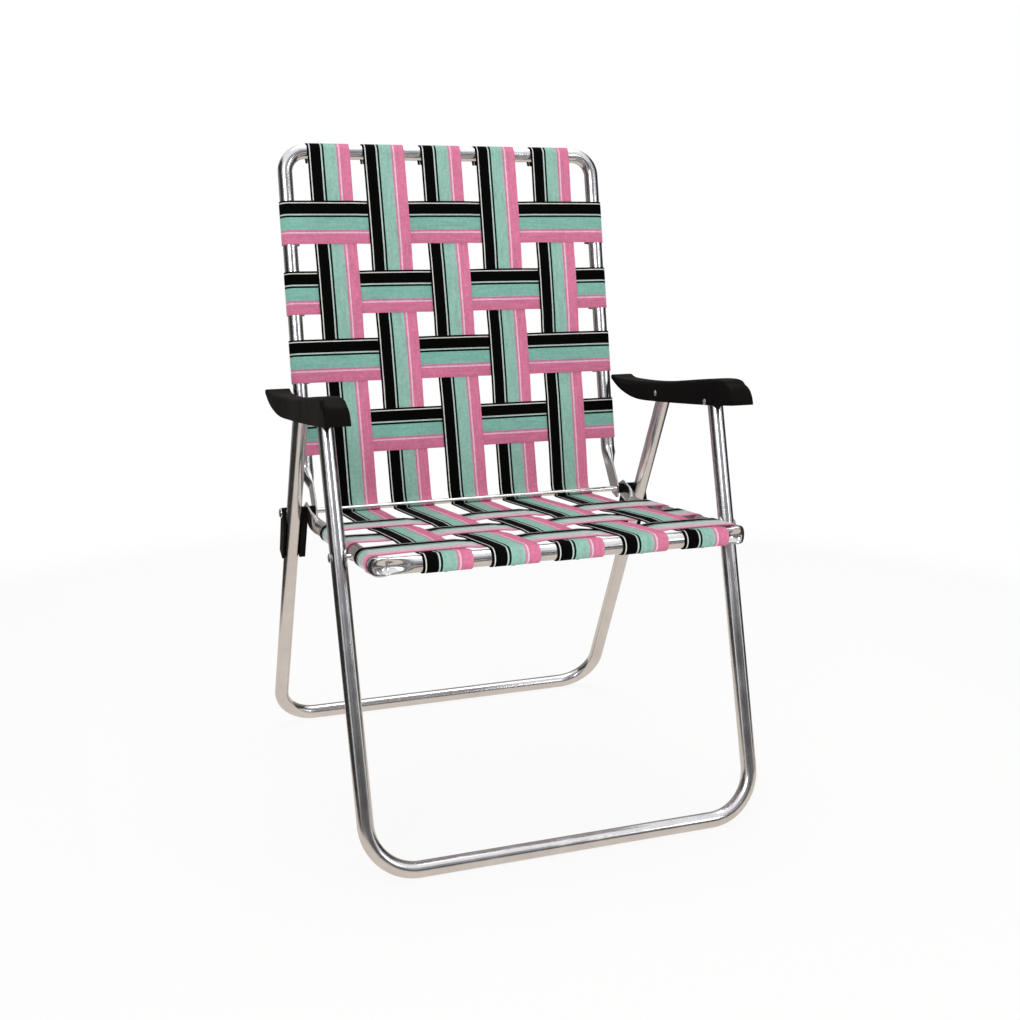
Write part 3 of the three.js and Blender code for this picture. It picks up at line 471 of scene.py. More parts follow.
# the section's first axis points outwards: across the chair on the sides, in the frame's plane at the bends
def outwardAxis(points, dirs, normal):
    straight = np.abs(dirs[:, :1]) < 1e-6
    acrossSide = np.sign(points[:, :1]) * acrossChair
    return unit(np.where(straight, acrossSide, np.cross(dirs, normal)))


stack = {"spacer": 7.0, "gap": 0.3}
seatFlatX = layout["seatHalf"] + tube["radius"] - tongue["thick"] / 2
spacerX = seatFlatX - tongue["thick"] / 2 - stack["gap"] - stack["spacer"] / 2
backFlatX = spacerX - stack["spacer"] / 2 - stack["gap"] - tongue["thick"] / 2


# a U across the chair, bent at elbow and bar; gives its line and the distance to its nearer end
def bentFrame(part, elbow, bar, normal):
    flat = [-unit(elbow) * tongue["edge"], elbow, bar]
    left = [fromAxle(-layout["seatHalf"], p) for p in flat]
    right = [fromAxle(layout["seatHalf"], p) for p in flat[::-1]]
    bends = [part["elbowBend"], part["barBend"], part["barBend"], part["elbowBend"]]
    points, dirs, along = bentLine(left + right, bends)
    e1 = outwardAxis(points, dirs, sideways(normal))
    return (points, dirs, along, e1), np.minimum(along, along[-1] - along)


backTube = {"barBend": 28.0, "elbow": 56.5, "elbowBend": 30.0, "tongue": 48.0, "taper": 18.0}


def backFrame():
    elbow = backRear * layout["backOffset"] + backUp * backTube["elbow"]
    top = backRear * layout["backOffset"] + backUp * layout["backLength"]
    line, fromEnd = bentFrame(backTube, elbow, top, backRear)
    shape = tongueShape(fromEnd, backFlatX - layout["seatHalf"], backTube["tongue"], backTube["taper"])
    mesh = hollowTube("backTube", *line, *shape)
    fitPiece("backTube", mesh, frontMetal, "tube", "back", ["back_frame"])


seatTube = {"barBend": 12.0, "elbowBend": 24.0, "tongue": 34.0, "taper": 36.0,
            "dent": 12.0, "dentRun": 30.0, "swell": 1.6, "push": 4.0}


# front corners: the tube is crushed on the outside of each tight bend, deepest at the end of the arc
def seatFrame():
    half = layout["seatHalf"]
    dip = np.array([-layout["seatDipReach"], -layout["seatDip"]])
    line, fromEnd = bentFrame(seatTube, dip, seatBar, seatUp)
    a, b, square, shift = tongueShape(fromEnd, seatFlatX - half, seatTube["tongue"], seatTube["taper"])
    arc = seatTube["barBend"] * math.pi / 2
    barHalf = half - seatTube["barBend"]
    length = line[2][-1]
    start = length / 2 - barHalf - arc
    t = (fromEnd - start) / (arc + seatTube["dentRun"])
    peak = arc / (arc + seatTube["dentRun"])
    crush = np.where(t < peak, ease(t / peak), ease((1 - t) / (1 - peak)))
    swell = np.sin(math.pi * np.clip((fromEnd - start) / arc, 0, 1))
    mesh = hollowTube("seatTube", *line, a, b + seatTube["swell"] * swell, square,
                      shift + seatTube["push"] * swell, seatTube["dent"] * crush)
    fitPiece("seatTube", mesh, frontMetal, "tube", "seat", ["seat_frame"])


backFrame()
seatFrame()
print("back and seat frames bent")


# turned pieces: a profile of (radius, along x) spun about an axle that runs across the chair
def turnedPiece(name, profile, centre, *fit, sides=28):
    profile = np.asarray(profile, float)
    angle = np.linspace(0, 2 * math.pi, sides, endpoint=False)[None, :]
    r, x = profile[:, :1], profile[:, 1:]
    grid = np.stack([np.broadcast_to(x, (len(profile), sides)), centre[0] + r * np.cos(angle),
                     centre[1] + r * np.sin(angle)], -1)
    fitPiece(name, skinGrid(name, grid, distanceAlong(profile) * mm, sharp=32.0), *fit)


# a domed head: rim, then a quarter ellipse up to a small flat crown; the values are shares
dome = {"rim": 0.3, "foot": 0.94, "footRise": 0.4, "crown": 0.96, "steps": 7}


def domeProfile(radius, height, base, side):
    rim = height * dome["rim"]
    angle = np.linspace(0, math.pi / 2 * dome["crown"], dome["steps"])
    r = np.concatenate([[radius * dome["foot"], radius], radius * np.cos(angle)])
    h = np.concatenate([[0.0, rim * dome["footRise"]], rim + (height - rim) * np.sin(angle)])
    return np.stack([r, base + side * h], -1)


bracket = {"wall": 3.0, "boss": 7.0, "shoulder": 8.0, "lowest": 61.0, "front": 5.0, "footFront": 6.0,
           "gap": 0.3, "slope": 110.0, "crown": (0.97, 0.999), "soft": 0.6, "softFrom": 28.0}
bracketInner = layout["seatHalf"] + tube["radius"] + bracket["gap"]
bracketOuter = rearHalf + tube["radius"] + bracket["gap"] + bracket["wall"]
pivots = {"axleRadius": 3.5, "capRadius": 6.5, "capHeight": 3.5, "spacerRadius": 7.0,
          "rivetRadius": 3.0, "rivetHead": 3.6, "rivetDome": 1.3, "seatHead": 5.5, "seatDome": 2.4,
          "chamfer": 0.6, "point": 0.4, "railGap": 1.8, "insetShare": 0.69, "seatHeadGap": 0.2,
          "rodSteps": 40}
capStart = bracketOuter + bracket["gap"]
bothSides = (("left", -1), ("right", 1))


# a rivet: a pointed shank, then a domed head; side says which way along x the head lies
def rivetProfile(tipX, headX, side, radius, height, headGap=0.0):
    r, point = pivots["rivetRadius"], pivots["point"]
    shank = [(point, tipX), (r, tipX + side * point), (r, headX)]
    return np.concatenate([shank, domeProfile(radius, height, headX + side * headGap, side)])


rodEnd = capStart + pivots["capHeight"] / 2
r, chamfer = pivots["axleRadius"], pivots["chamfer"]
rodProfile = [(r - chamfer, -rodEnd), (r, -rodEnd + chamfer)]
rodProfile += [(r, x) for x in np.linspace(-rodEnd + 1, rodEnd - 1, pivots["rodSteps"])]
rodProfile += [(r, rodEnd - chamfer), (r - chamfer, rodEnd)]
turnedPiece("axleRod", rodProfile, axle, rodMetal, "steel", "rear_legs", ["axle_rod"])

for word, side in bothSides:
    capProfile = domeProfile(pivots["capRadius"], pivots["capHeight"], side * capStart, side)
    turnedPiece(word + "AxleCap", capProfile, axle, rivetMetal, "steel", "rear_legs", [word + "_axle_cap"])
    near, far = spacerX - stack["spacer"] / 2, spacerX + stack["spacer"] / 2
    r = pivots["spacerRadius"]
    washer = [(r - chamfer, side * near), (r, side * (near + chamfer)),
              (r, side * (far - chamfer)), (r - chamfer, side * far)]
    turnedPiece(word + "HingeSpacer", washer, axle, blackMoulding, "black_plastic", "rear_legs",
                [word + "_hinge_spacer"])
    seatX = layout["seatHalf"] + tube["radius"] + pivots["railGap"]
    legX = frontHalf + layout["frontInset"] * pivots["insetShare"] + tube["radius"]
    rivet = rivetProfile(side * seatX, side * legX, side, pivots["seatHead"], pivots["seatDome"],
                         pivots["seatHeadGap"])
    seatPivot = onFrontLeg(layout["seatRivetHeight"])
    turnedPiece(word + "SeatRivet", rivet, seatPivot, rivetMetal, "steel", "front_legs",
                [word + "_seat_rivet"])
print("axle and rivets turned")


# hinge bracket: slices of a block square to the leg, open in front and bored round the leg, with a boss round
# the axle at its top
def hingeBracket(word, side):
    legRoom = tube["radius"] + bracket["gap"]
    pin, boss = layout["axleBehind"], bracket["boss"]
    lowest, shoulder = bracket["lowest"], bracket["shoulder"]
    slope = math.radians(bracket["slope"])
    shoulderEnd = boss * math.sin(slope)
    up = np.concatenate([np.linspace(-lowest, -shoulder, 10), np.linspace(-shoulder, shoulderEnd, 14)[1:],
                         [boss * share for share in bracket["crown"]]])
    bossRound = np.sqrt(boss ** 2 - np.clip(up, 0, boss) ** 2)
    heel = np.interp(up, [-lowest, 0], [legRoom + bracket["wall"], pin + boss])
    rear = np.where(up < 0, heel, pin + bossRound)
    front = np.interp(up, [-lowest, -shoulder, shoulderEnd],
                      [-bracket["footFront"], -bracket["front"], pin + boss * math.cos(slope)])
    front = np.where(up > shoulderEnd, pin - bossRound, front)[:, None]
    angle = np.linspace(math.pi, 0, 15)
    boreX, boreY = legRoom * np.cos(angle), np.maximum(legRoom * np.sin(angle)[None, :], front)
    across = np.concatenate([[bracketInner, bracketInner], rearHalf + boreX[:1], rearHalf + boreX,
                             rearHalf + boreX[-1:], [bracketOuter, bracketOuter]])
    rearwards = np.concatenate([rear[:, None], front, front, boreY, front, front, rear[:, None]], 1)
    flat = (rearwards - pin)[..., None] * legRear + up[:, None, None] * legUp
    grid = fromAxle(side * np.broadcast_to(across[None, :], rearwards.shape), flat)
    mesh = skinGrid(word + "HingeBracket", grid, up * mm, sharp=25.0)
    piece = fitPiece(word + "HingeBracket", mesh, blackMoulding, "black_plastic", "rear_legs",
                     [word + "_hinge_bracket"])
    soft = piece.modifiers.new("softEdges", "BEVEL")
    soft.width, soft.segments = bracket["soft"] * mm, 2
    soft.limit_method, soft.angle_limit = "ANGLE", math.radians(bracket["softFrom"])


for word, side in bothSides:
    hingeBracket(word, side)
print("hinge brackets moulded")

# armrests: a channel open underneath, crested over the front leg, falling to a flared flat tip at the rear
arm = {"width": 29.0, "wall": 3.6, "frontReach": 68.7, "rearReach": 145.0, "crest": 31.0, "seat": 15.4,
       "tip": 9.0, "tipThick": 5.0, "flare": 4.2, "frontDrop": 4.0, "rearDrop": 11.2, "belly": 14.7,
       "edge": 6.0, "stations": 110, "crestAt": 0.7, "nose": [(0.08, 0.62), (0.34, 0.89)], "waistAt": 0.78,
       "waistDip": 2.0, "bellyAt": 0.45, "bellyFade": 0.55, "frontGap": 0.6, "crowd": 0.9,
       "edgeShare": 0.45, "innerShare": 0.4, "cavityAt": 0.7, "cavityFront": 3.0, "cavityRear": 14.0}


# a smooth curve through points, each span a cubic whose end slopes follow the neighbours
def throughPoints(points, count=400):
    p = np.asarray(points, float)
    t = np.linspace(0, len(p) - 1, count)
    i = np.minimum(t.astype(int), len(p) - 2)
    f = (t - i)[:, None]
    p0, p1, p2, p3 = p[np.maximum(i - 1, 0)], p[i], p[i + 1], p[np.minimum(i + 2, len(p) - 1)]
    m1, m2 = (p2 - p0) / 2, (p3 - p1) / 2
    return (2 * p1 - 2 * p2 + m1 + m2) * f ** 3 + (-3 * p1 + 3 * p2 - 2 * m1 - m2) * f ** 2 + m1 * f + p1


armFrontEnd = armFront[0] - arm["frontReach"]
armRearEnd = armRear[0] + arm["rearReach"]
armCrest = armFrontEnd + (armFront[0] - armFrontEnd) * arm["crestAt"]
armNose = [(armFrontEnd + (armCrest - armFrontEnd) * along, armFront[1] + arm["crest"] * rise)
           for along, rise in arm["nose"]]
armWaist = armRear[0] + arm["rearReach"] * arm["waistAt"]
armTop = throughPoints([
    (armFrontEnd, armFront[1] + arm["frontDrop"]),
    *armNose,
    (armCrest, armFront[1] + arm["crest"]),
    (armRear[0], armRear[1] + arm["seat"]),
    (armWaist, armRear[1] + arm["tip"] - arm["waistDip"]),
    (armRearEnd, armRear[1] + arm["tip"])])
armUnder = throughPoints([
    (armFrontEnd, armFront[1] + arm["frontDrop"]),
    (armFront[0], armFront[1] - arm["frontDrop"]),
    (armRear[0], armRear[1] - arm["rearDrop"]),
    (armRear[0] + arm["rearReach"] * arm["bellyAt"], armRear[1] - arm["belly"]),
    (armWaist, armRear[1] - arm["belly"] * arm["bellyFade"]),
    (armRearEnd, armRear[1] + arm["tip"] - arm["tipThick"])])


# section loop: up the outer wall, over the rounded top, down, then back inside along the channel's roof
def armrest(word, side):
    t = np.linspace(0, 1, arm["stations"])
    spacing = (0.5 - 0.5 * np.cos(math.pi * t)) ** arm["crowd"]
    y = armFrontEnd + arm["frontGap"] + (armRearEnd - armFrontEnd - arm["frontGap"]) * spacing
    top = np.interp(y, armTop[:, 0], armTop[:, 1])[:, None]
    under = np.interp(y, armUnder[:, 0], armUnder[:, 1])[:, None]
    flare = arm["flare"] / 2 * ease((y - armRear[0]) / arm["rearReach"])[:, None]
    half = arm["width"] / 2 + flare
    r = np.minimum(arm["edge"], (top - under) * arm["edgeShare"])
    q = np.linspace(0, math.pi / 2, 7)[None, :]
    right = half - r + r * np.cos(q), top - r + r * np.sin(q)
    left = -(half - r) - r * np.sin(q), top - r + r * np.cos(q)
    wallSteps = np.linspace(0, 1, 5)[None, :-1]
    outerX = np.concatenate([half + 0 * wallSteps, right[0], left[0], -half + 0 * wallSteps], 1)
    outerZ = np.concatenate([under + (top - r - under) * wallSteps, right[1], left[1],
                             (top - r) + (under - top + r) * (wallSteps + 0.25)], 1)
    cavityEnd = armRear[0] + arm["rearReach"] * arm["cavityAt"]
    opened = ease((y - armFrontEnd - 2 * arm["wall"]) / arm["cavityFront"])
    opened = opened * ease((cavityEnd - y) / arm["cavityRear"])
    depth = (top - under - arm["wall"]) * opened[:, None]
    inHalf = np.full_like(top, arm["width"] / 2 - arm["wall"])
    inR = np.minimum(arm["edge"] - arm["wall"] / 2, np.maximum(depth * arm["innerShare"], 0.01))
    q2 = np.linspace(0, math.pi / 2, 5)[None, :]
    innerX = np.concatenate([-inHalf, -inHalf + inR - inR * np.cos(q2),
                             inHalf - inR + inR * np.sin(q2), inHalf], 1)
    innerZ = under + np.concatenate([0 * depth, depth - inR + inR * np.sin(q2),
                                     depth - inR + inR * np.cos(q2), 0 * depth], 1)
    acrossX = np.concatenate([outerX + side * flare, innerX], 1)
    height = np.concatenate([outerZ, innerZ], 1)
    grid = np.stack([side * rearHalf + acrossX, np.broadcast_to(y[:, None], acrossX.shape), height], -1)
    mesh = skinGrid(word + "Armrest", grid, y * mm, sharp=35.0)
    fitPiece(word + "Armrest", mesh, blackMoulding, "black_plastic", "armrests", [word + "_armrest"])
    blindX = side * (rearHalf + arm["width"] / 2 - arm["wall"] - stack["gap"])
    headX = side * (rearHalf - arm["width"] / 2)
    rivet = rivetProfile(blindX, headX, -side, pivots["rivetHead"], pivots["rivetDome"])
    for place, pivot in (("front", armFront), ("rear", armRear)):
        name = word + place.capitalize() + "ArmRivet"
        turnedPiece(name, rivet, pivot, rivetMetal, "steel", "armrests", [f"{word}_arm_{place}_rivet"])


for word, side in bothSides:
    armrest(word, side)
print("armrests moulded")

# webbing runs: where each tape lies, in millimetres
weave = {"gap": 0.3, "wrapTurn": 205.0, "tail": 10.0, "cornerRadius": 18.0, "flatExtra": 2.4,
         "edgeRound": 0.45, "blendReach": 0.016, "acrossSteps": 15, "backSteps": 150, "seatSteps": 110,
         "crossSteps": 150, "cornerSteps": 16, "wrapSteps": 26,
         "topCentres": [-160.8, -86.0, -6.0, 72.3, 153.5], "footCentres": [-155.4, -80.0, 0.9, 74.9, 151.7],
         "barCentres": [-142.5, -64.0, 13.0, 93.0, 171.0],
         "backRows": [378.6, 286.2, 196.4, 101.3], "seatRows": [120.8, 212.8, 304.8], "bow": 1.6}
webLift = tube["radius"] + weave["gap"] + webbing["thick"] / 2
weaveStep = (webbing["thick"] + weave["gap"]) / 2


# how far a tape lies above or below the weave plane: level over each crossing, eased between them
def weaveLift(at, crossings, ends):
    reach = webbing["width"] / 2 + weave["flatExtra"]
    knots = [(ends[0], 0.0)]
    for place, over in sorted(crossings):
        knots += [(place - reach, over), (place + reach, over)]
    knots = np.array(knots + [(ends[1], 0.0)])
    i = np.clip(np.searchsorted(knots[:, 0], at) - 1, 0, len(knots) - 2)
    t = ease((at - knots[i, 0]) / np.maximum(knots[i + 1, 0] - knots[i, 0], 1e-6))
    return weaveStep * (knots[i, 1] + (knots[i + 1, 1] - knots[i, 1]) * t)


def isOver(row, column):
    return 1 if (row + column) % 2 == 0 else -1


def turnRound(centre, radius, fromDeg, toDeg, steps=weave["wrapSteps"]):
    angle = np.radians(np.linspace(fromDeg, toDeg, steps))[:, None]
    return centre + radius * np.concatenate([np.cos(angle), np.sin(angle)], 1)


def withTail(points, atEnd):
    ends = (points[-1], points[-2]) if atEnd else (points[0], points[1])
    along = unit(ends[0] - ends[1])
    tail = ends[0] + along * np.linspace(0, weave["tail"], 6)[1:, None]
    return np.concatenate([points, tail]) if atEnd else np.concatenate([tail[::-1], points])


# tape: a flat section with round edges carried along a line; facing is the side the pattern is seen from
def tapeMesh(name, line, facing, acrossDir):
    half, thick, r = webbing["width"] / 2, webbing["thick"] / 2, weave["edgeRound"]
    edge = np.linspace(-math.pi / 2, math.pi / 2, 6)[1:-1]
    flat = np.linspace(-(half - r), half - r, weave["acrossSteps"])
    level = np.full(weave["acrossSteps"], thick)
    a = np.concatenate([flat, half - r + r * np.cos(edge), flat[::-1], -(half - r) - r * np.cos(edge)])
    h = np.concatenate([-level, thick * np.sin(edge), level, -thick * np.sin(edge)])
    across = np.broadcast_to(acrossDir, line.shape)[:, None, :]
    grid = line[:, None, :] + across * a[None, :, None] + facing[:, None, :] * h[None, :, None]
    u = np.append((a + half) / (2 * half), (a[0] + half) / (2 * half))
    v = distanceAlong(line) * mm
    return skinGrid(name, grid, v, u, sharp=60.0), v[-1]


# unit vectors square to a side-view line, on its left
def facingOf(flat):
    d = unit(np.gradient(flat, axis=0))
    return np.stack([-d[:, 1], d[:, 0]], -1)


# side-view points of a tape on the seat and on the back, lifted by the weave
def seatLevelAt(forward, lift):
    along = ((forward - layout["seatReach"]) / math.cos(seatSlope))[:, None] * seatForward
    return seatBar + along + (webLift + lift)[:, None] * seatUp


def backLevelAt(up, lift):
    return up[:, None] * backUp + (layout["backOffset"] - webLift - lift)[:, None] * backRear


# side-view points on the middle of the seat's and the back's tubes
def seatTubeAt(forward):
    return seatLevelAt(np.array([forward]), np.array([-webLift]))[0]


def backTubeAt(up):
    return backRear * layout["backOffset"] + backUp * up


# the turn under the rod: an arc that touches the back's plane and the seat's plane
backFoot = backLevelAt(np.zeros(1), np.zeros(1))[0]
seatFoot = seatLevelAt(np.zeros(1), np.zeros(1))[0]
cornerAngle = math.pi / 2 - recline + seatSlope
cornerPoint = backFoot + backUp * ((seatFoot - backFoot) @ seatUp) / (backUp @ seatUp)
cornerReach = weave["cornerRadius"] * math.tan(cornerAngle / 2)
cornerCentre = cornerPoint + unit(backUp + seatForward) * weave["cornerRadius"] / math.cos(cornerAngle / 2)
cornerFrom = math.degrees(math.atan2(backRear[1], backRear[0]))
cornerTo = math.degrees(math.atan2(-seatUp[1], -seatUp[0]))


# sideways place of a long tape: straight down the back, then bowing to the right towards the front bar
def onBack(column, up):
    ends = [weave["footCentres"][column], weave["topCentres"][column]]
    return np.interp(up, [0.0, layout["backLength"]], ends)


def onSeat(column, forward):
    foot, bar = weave["footCentres"][column], weave["barCentres"][column]
    return foot + (bar - foot) * np.clip(forward / layout["seatReach"], 0, 1) ** weave["bow"]


def longTape(column):
    backCrossings = [(at, -isOver(r, column)) for r, at in enumerate(weave["backRows"])]
    seatCrossings = [(at, -isOver(r, column)) for r, at in enumerate(weave["seatRows"])]
    topBar = backTubeAt(layout["backLength"])
    frontOfBar = math.degrees(math.atan2(-backRear[1], -backRear[0]))
    topWrap = withTail(turnRound(topBar, webLift, frontOfBar - weave["wrapTurn"], frontOfBar), False)
    backEnd = (cornerPoint @ backUp) + cornerReach
    up = np.linspace(layout["backLength"], backEnd, weave["backSteps"])[1:-1]
    backRun = backLevelAt(up, weaveLift(up, backCrossings, (backEnd, layout["backLength"])))
    corner = turnRound(cornerCentre, weave["cornerRadius"], cornerFrom, cornerTo, weave["cornerSteps"])
    seatStart = layout["seatReach"] + ((corner[-1] - seatBar) @ seatForward) * math.cos(seatSlope)
    forward = np.linspace(seatStart, layout["seatReach"], weave["seatSteps"])[1:-1]
    seatRun = seatLevelAt(forward, weaveLift(forward, seatCrossings, (seatStart, layout["seatReach"])))
    topOfBar = 90 - math.degrees(seatSlope)
    barWrap = withTail(turnRound(seatBar, webLift, topOfBar, topOfBar + weave["wrapTurn"]), True)
    flat = np.concatenate([topWrap, backRun, corner, seatRun, barWrap])
    x = np.concatenate([np.full(len(topWrap), weave["topCentres"][column]), onBack(column, up),
                        np.full(len(corner), weave["footCentres"][column]), onSeat(column, forward),
                        np.full(len(barWrap), weave["barCentres"][column])])
    line = fromAxle(x, flat)
    out = facingOf(flat)
    facing = np.stack([np.zeros(len(out)), out[:, 0], out[:, 1]], -1)
    name = f"longTape{column + 1}"
    mesh, length = tapeMesh(name, line, facing, acrossChair)
    piece = fitPiece(name, mesh, stripedTape["long"], "webbing", None,
                     [f"back_strap_{column + 1}", f"seat_strap_{column + 1}"])
    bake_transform(piece)


def crossTape(name, row, half, centres, origin, normal, acrossDir, body, node):
    crossings = [(x, isOver(row, c)) for c, x in enumerate(centres)]
    left = withTail(turnRound(np.array([-half, 0.0]), webLift, 90 + weave["wrapTurn"], 90), False)
    right = withTail(turnRound(np.array([half, 0.0]), webLift, 90, 90 - weave["wrapTurn"]), True)
    x = np.linspace(-half, half, weave["crossSteps"])[1:-1]
    run = np.stack([x, webLift + weaveLift(x, crossings, (-half, half))], -1)
    flat = np.concatenate([left, run, right])
    out = facingOf(flat)
    line = origin + flat[:, :1] * acrossChair + flat[:, 1:] * normal
    facing = out[:, :1] * acrossChair + out[:, 1:] * normal
    mesh, length = tapeMesh(name, line, facing, acrossDir)
    piece = fitPiece(name, mesh, stripedTape["cross"], "webbing", body, [node])


columns = range(len(weave["topCentres"]))
for column in columns:
    longTape(column)
for row, at in enumerate(weave["backRows"]):
    origin = fromAxle(0.0, backTubeAt(at))
    centres = [onBack(c, at) for c in columns]
    crossTape(f"backCrossTape{row + 1}", row, layout["seatHalf"], centres, origin, -sideways(backRear),
              -sideways(backUp), "back", f"back_cross_strap_{row + 1}")
for row, at in enumerate(weave["seatRows"]):
    origin = fromAxle(0.0, seatTubeAt(at))
    centres = [onSeat(c, at) for c in columns]
    crossTape(f"seatCrossTape{row + 1}", row, layout["seatHalf"], centres, origin, sideways(seatUp),
              sideways(seatForward), "seat", f"seat_cross_strap_{row + 1}")
print("webbing woven")

# webbing screws: a washer and a domed head on every tape end, behind the back tubes and under the seat tubes
screw = {"washer": 4.6, "washerThick": 0.7, "washerEdge": (0.3, 0.2), "sunk": 0.1, "head": 3.2,
         "headRise": 0.3, "dome": 1.7, "crown": 0.95, "sides": 16, "tuck": 28.0}
tapeTop = webLift + webbing["thick"] / 2
behind, below = sideways(backRear), -sideways(seatUp)
tuck = math.radians(screw["tuck"])
tucked = below * math.cos(tuck) - sideways(seatForward) * math.sin(tuck)


# one head on the tape that goes round a tube at x across the chair, on its outward side
def screwHead(x, tubeAt, outward):
    base = fromAxle(x, tubeAt) + outward * tapeTop
    third = np.cross(outward, acrossChair)
    washer, thick = screw["washer"], screw["washerThick"]
    inset, fall = screw["washerEdge"]
    angle = np.linspace(0, math.pi / 2 * screw["crown"], 6)
    r = np.concatenate([[washer, washer, washer - inset, screw["head"]], screw["head"] * np.cos(angle)])
    h = np.concatenate([[-screw["sunk"], thick - fall, thick, thick],
                        thick + screw["headRise"] + screw["dome"] * np.sin(angle)])
    spin = np.linspace(0, 2 * math.pi, screw["sides"], endpoint=False)[None, :, None]
    ring = np.cos(spin) * acrossChair + np.sin(spin) * third
    grid = base + r[:, None, None] * ring + h[:, None, None] * outward
    return skinGrid("head", grid, r * mm, sharp=32.0)


sideTubes = (-layout["seatHalf"], layout["seatHalf"])
backHeads = [screwHead(x, backTubeAt(layout["backLength"]), behind) for x in weave["topCentres"]]
backHeads += [screwHead(x, backTubeAt(at), behind) for at in weave["backRows"] for x in sideTubes]
seatHeads = [screwHead(x, seatBar, tucked) for x in weave["barCentres"]]
seatHeads += [screwHead(x, seatTubeAt(at), below) for at in weave["seatRows"] for x in sideTubes]
fitPiece("backWebbingScrews", joinMeshes("backWebbingScrews", backHeads), rivetMetal, "steel", "back")
fitPiece("seatWebbingScrews", joinMeshes("seatWebbingScrews", seatHeads), rivetMetal, "steel", "seat")
print("webbing screws set")

# floor, light and camera
studio = {"floorHalf": 9.0, "floor": (0.80, 0.79, 0.77), "floorRough": 0.9, "floorWhite": 0.89,
          "fadeFrom": 0.4, "fadeTo": 1.6, "world": 0.66, "lens": 46.87, "sensor": 36.0, "clip": (0.05, 50.0),
          "camera": (-0.552, -1.5775, 0.7234), "turn": (77.51, 0.0, -19.86), "lampsAim": (0.0, 0.0, 0.4)}
plainWhite = {"Color": (1.0, 1.0, 1.0, 1.0), "Strength": 1.0}

floorMesh = bpy.data.meshes.new("floor")
f = studio["floorHalf"]
floorMesh.from_pydata([(-f, -f, 0), (f, -f, 0), (f, f, 0), (-f, f, 0)], [], [[0, 1, 2, 3]])
floorPiece = bpy.data.objects.new("floor", floorMesh)
bpy.context.scene.collection.objects.link(floorPiece)
n = Nodes(bpy.data.materials.new("pale floor"))
away = n.add("ShaderNodeVectorMath", {0: n.objectPlace()}, operation="LENGTH").outputs["Value"]
fadeInputs = {"Value": away, "From Min": studio["fadeFrom"], "From Max": studio["fadeTo"]}
fade = n.add("ShaderNodeMapRange", fadeInputs, interpolation_type="SMOOTHSTEP").outputs["Result"]
n.finish(Base_Color=(*studio["floor"], 1.0), Roughness=studio["floorRough"])
white = n.sum("MAXIMUM", fade, n.sum("MULTIPLY", n.seenRay(), studio["floorWhite"]))
plain = n.add("ShaderNodeEmission", plainWhite)
n.show(n.add("ShaderNodeMixShader", {0: white, 1: n.shader, 2: plain}))
floorMesh.materials.append(n.owner)

# the world: white where it is seen, softer as light
world = bpy.data.worlds.new("studio")
bpy.context.scene.world = world
n = Nodes(world)
seen = n.add("ShaderNodeBackground", plainWhite)
soft = n.add("ShaderNodeBackground", {**plainWhite, "Strength": studio["world"]})
n.show(n.add("ShaderNodeMixShader", {0: n.seenRay(), 1: soft, 2: seen}), "World Output")

# cards seen only in shine: dark beside the chair, grey behind it and behind the camera, a warm floor under it
# with a dark floor round that
cards = {
    "leftCard": {"corners": [(-2.6, -1.2), (-1.7, 2.6)], "height": 2.6, "colour": (0.02, 0.02, 0.02)},
    "rightCard": {"corners": [(2.6, -1.2), (1.9, 2.6)], "height": 2.6, "colour": (0.02, 0.02, 0.02)},
    "roomCard": {"corners": [(-5.0, -3.6), (5.0, -3.6)], "height": 3.4, "colour": (0.32, 0.32, 0.34)},
    "lowCard": {"corners": [(-5.0, -3.5), (5.0, -3.5)], "height": 1.15, "colour": (0.07, 0.065, 0.065)},
    "rearCard": {"corners": [(-2.0, 1.2), (2.4, 1.2)], "height": 1.1, "colour": (0.26, 0.24, 0.22)},
    "roundCard": {"corners": [(-3.0, -2.1), (3.0, 1.15)], "level": 0.0004, "colour": (0.03, 0.028, 0.028)},
    "floorCard": {"corners": [(-0.52, -0.95), (0.8, 1.15)], "level": 0.0008, "colour": (0.74, 0.66, 0.58)}}
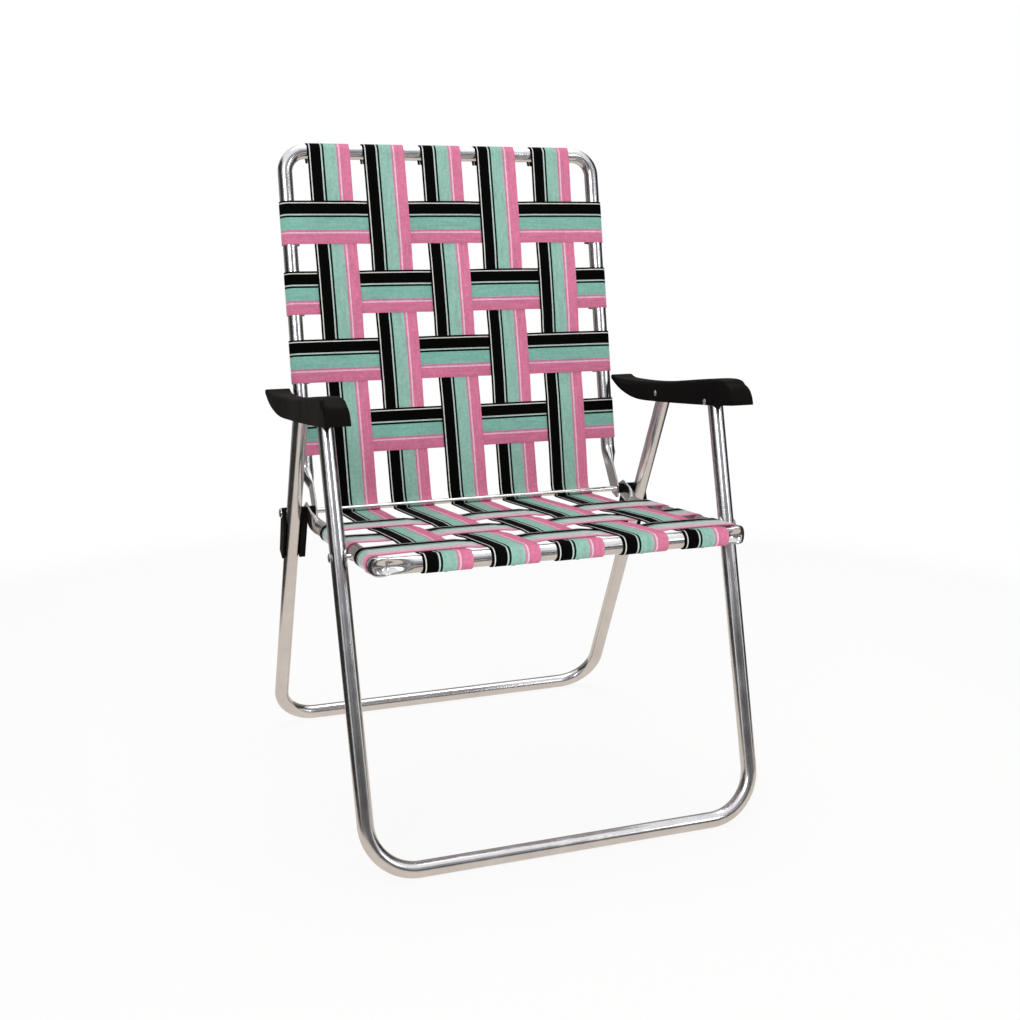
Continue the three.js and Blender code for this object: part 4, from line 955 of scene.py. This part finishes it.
for name, card in cards.items():
    (ax, ay), (bx, by) = card["corners"]
    cardMesh = bpy.data.meshes.new(name)
    if "height" in card:
        outline = [(ax, ay, 0), (bx, by, 0), (bx, by, card["height"]), (ax, ay, card["height"])]
    else:
        outline = [(x, y, card["level"]) for x, y in ((ax, ay), (bx, ay), (bx, by), (ax, by))]
    cardMesh.from_pydata(outline, [], [[0, 1, 2, 3]])
    n = Nodes(bpy.data.materials.new(name))
    n.show(n.add("ShaderNodeEmission", {"Color": (*card["colour"], 1.0), "Strength": 1.0}))
    cardMesh.materials.append(n.owner)
    sheet = bpy.data.objects.new(name, cardMesh)
    bpy.context.scene.collection.objects.link(sheet)
    sheet.visible_camera = sheet.visible_diffuse = sheet.visible_shadow = False

lamps = {"key": {"place": (-1.5, -2.1, 1.7), "size": 0.8, "power": 19.0},
         "strip": {"place": (1.5, -2.1, 1.35), "size": 0.6, "power": 7.0},
         "top": {"place": (0.2, 0.4, 2.4), "size": 1.4, "power": 17.0},
         "fill": {"place": (-0.2, -2.2, 0.5), "size": 1.5, "power": 8.0, "shine": False}}
for name, lamp in lamps.items():
    light = bpy.data.lights.new(name, "AREA")
    light.size, light.energy = lamp["size"], lamp["power"]
    holder = bpy.data.objects.new(name, light)
    bpy.context.scene.collection.objects.link(holder)
    holder.location = lamp["place"]
    holder.visible_glossy = lamp.get("shine", True)
    aim = np.array(studio["lampsAim"]) - np.array(lamp["place"])
    yaw, pitch = math.atan2(aim[1], aim[0]), math.acos(-aim[2] / np.linalg.norm(aim))
    holder.rotation_euler = (pitch, 0.0, yaw - math.pi / 2)

cameraData = bpy.data.cameras.new("camera")
cameraData.lens, cameraData.sensor_width = studio["lens"], studio["sensor"]
cameraData.clip_start, cameraData.clip_end = studio["clip"]
camera = bpy.data.objects.new("camera", cameraData)
bpy.context.scene.collection.objects.link(camera)
camera.location = studio["camera"]
camera.rotation_euler = tuple(math.radians(a) for a in studio["turn"])
bpy.context.scene.camera = camera
bpy.context.scene.view_settings.view_transform = "Standard"
print("studio set")
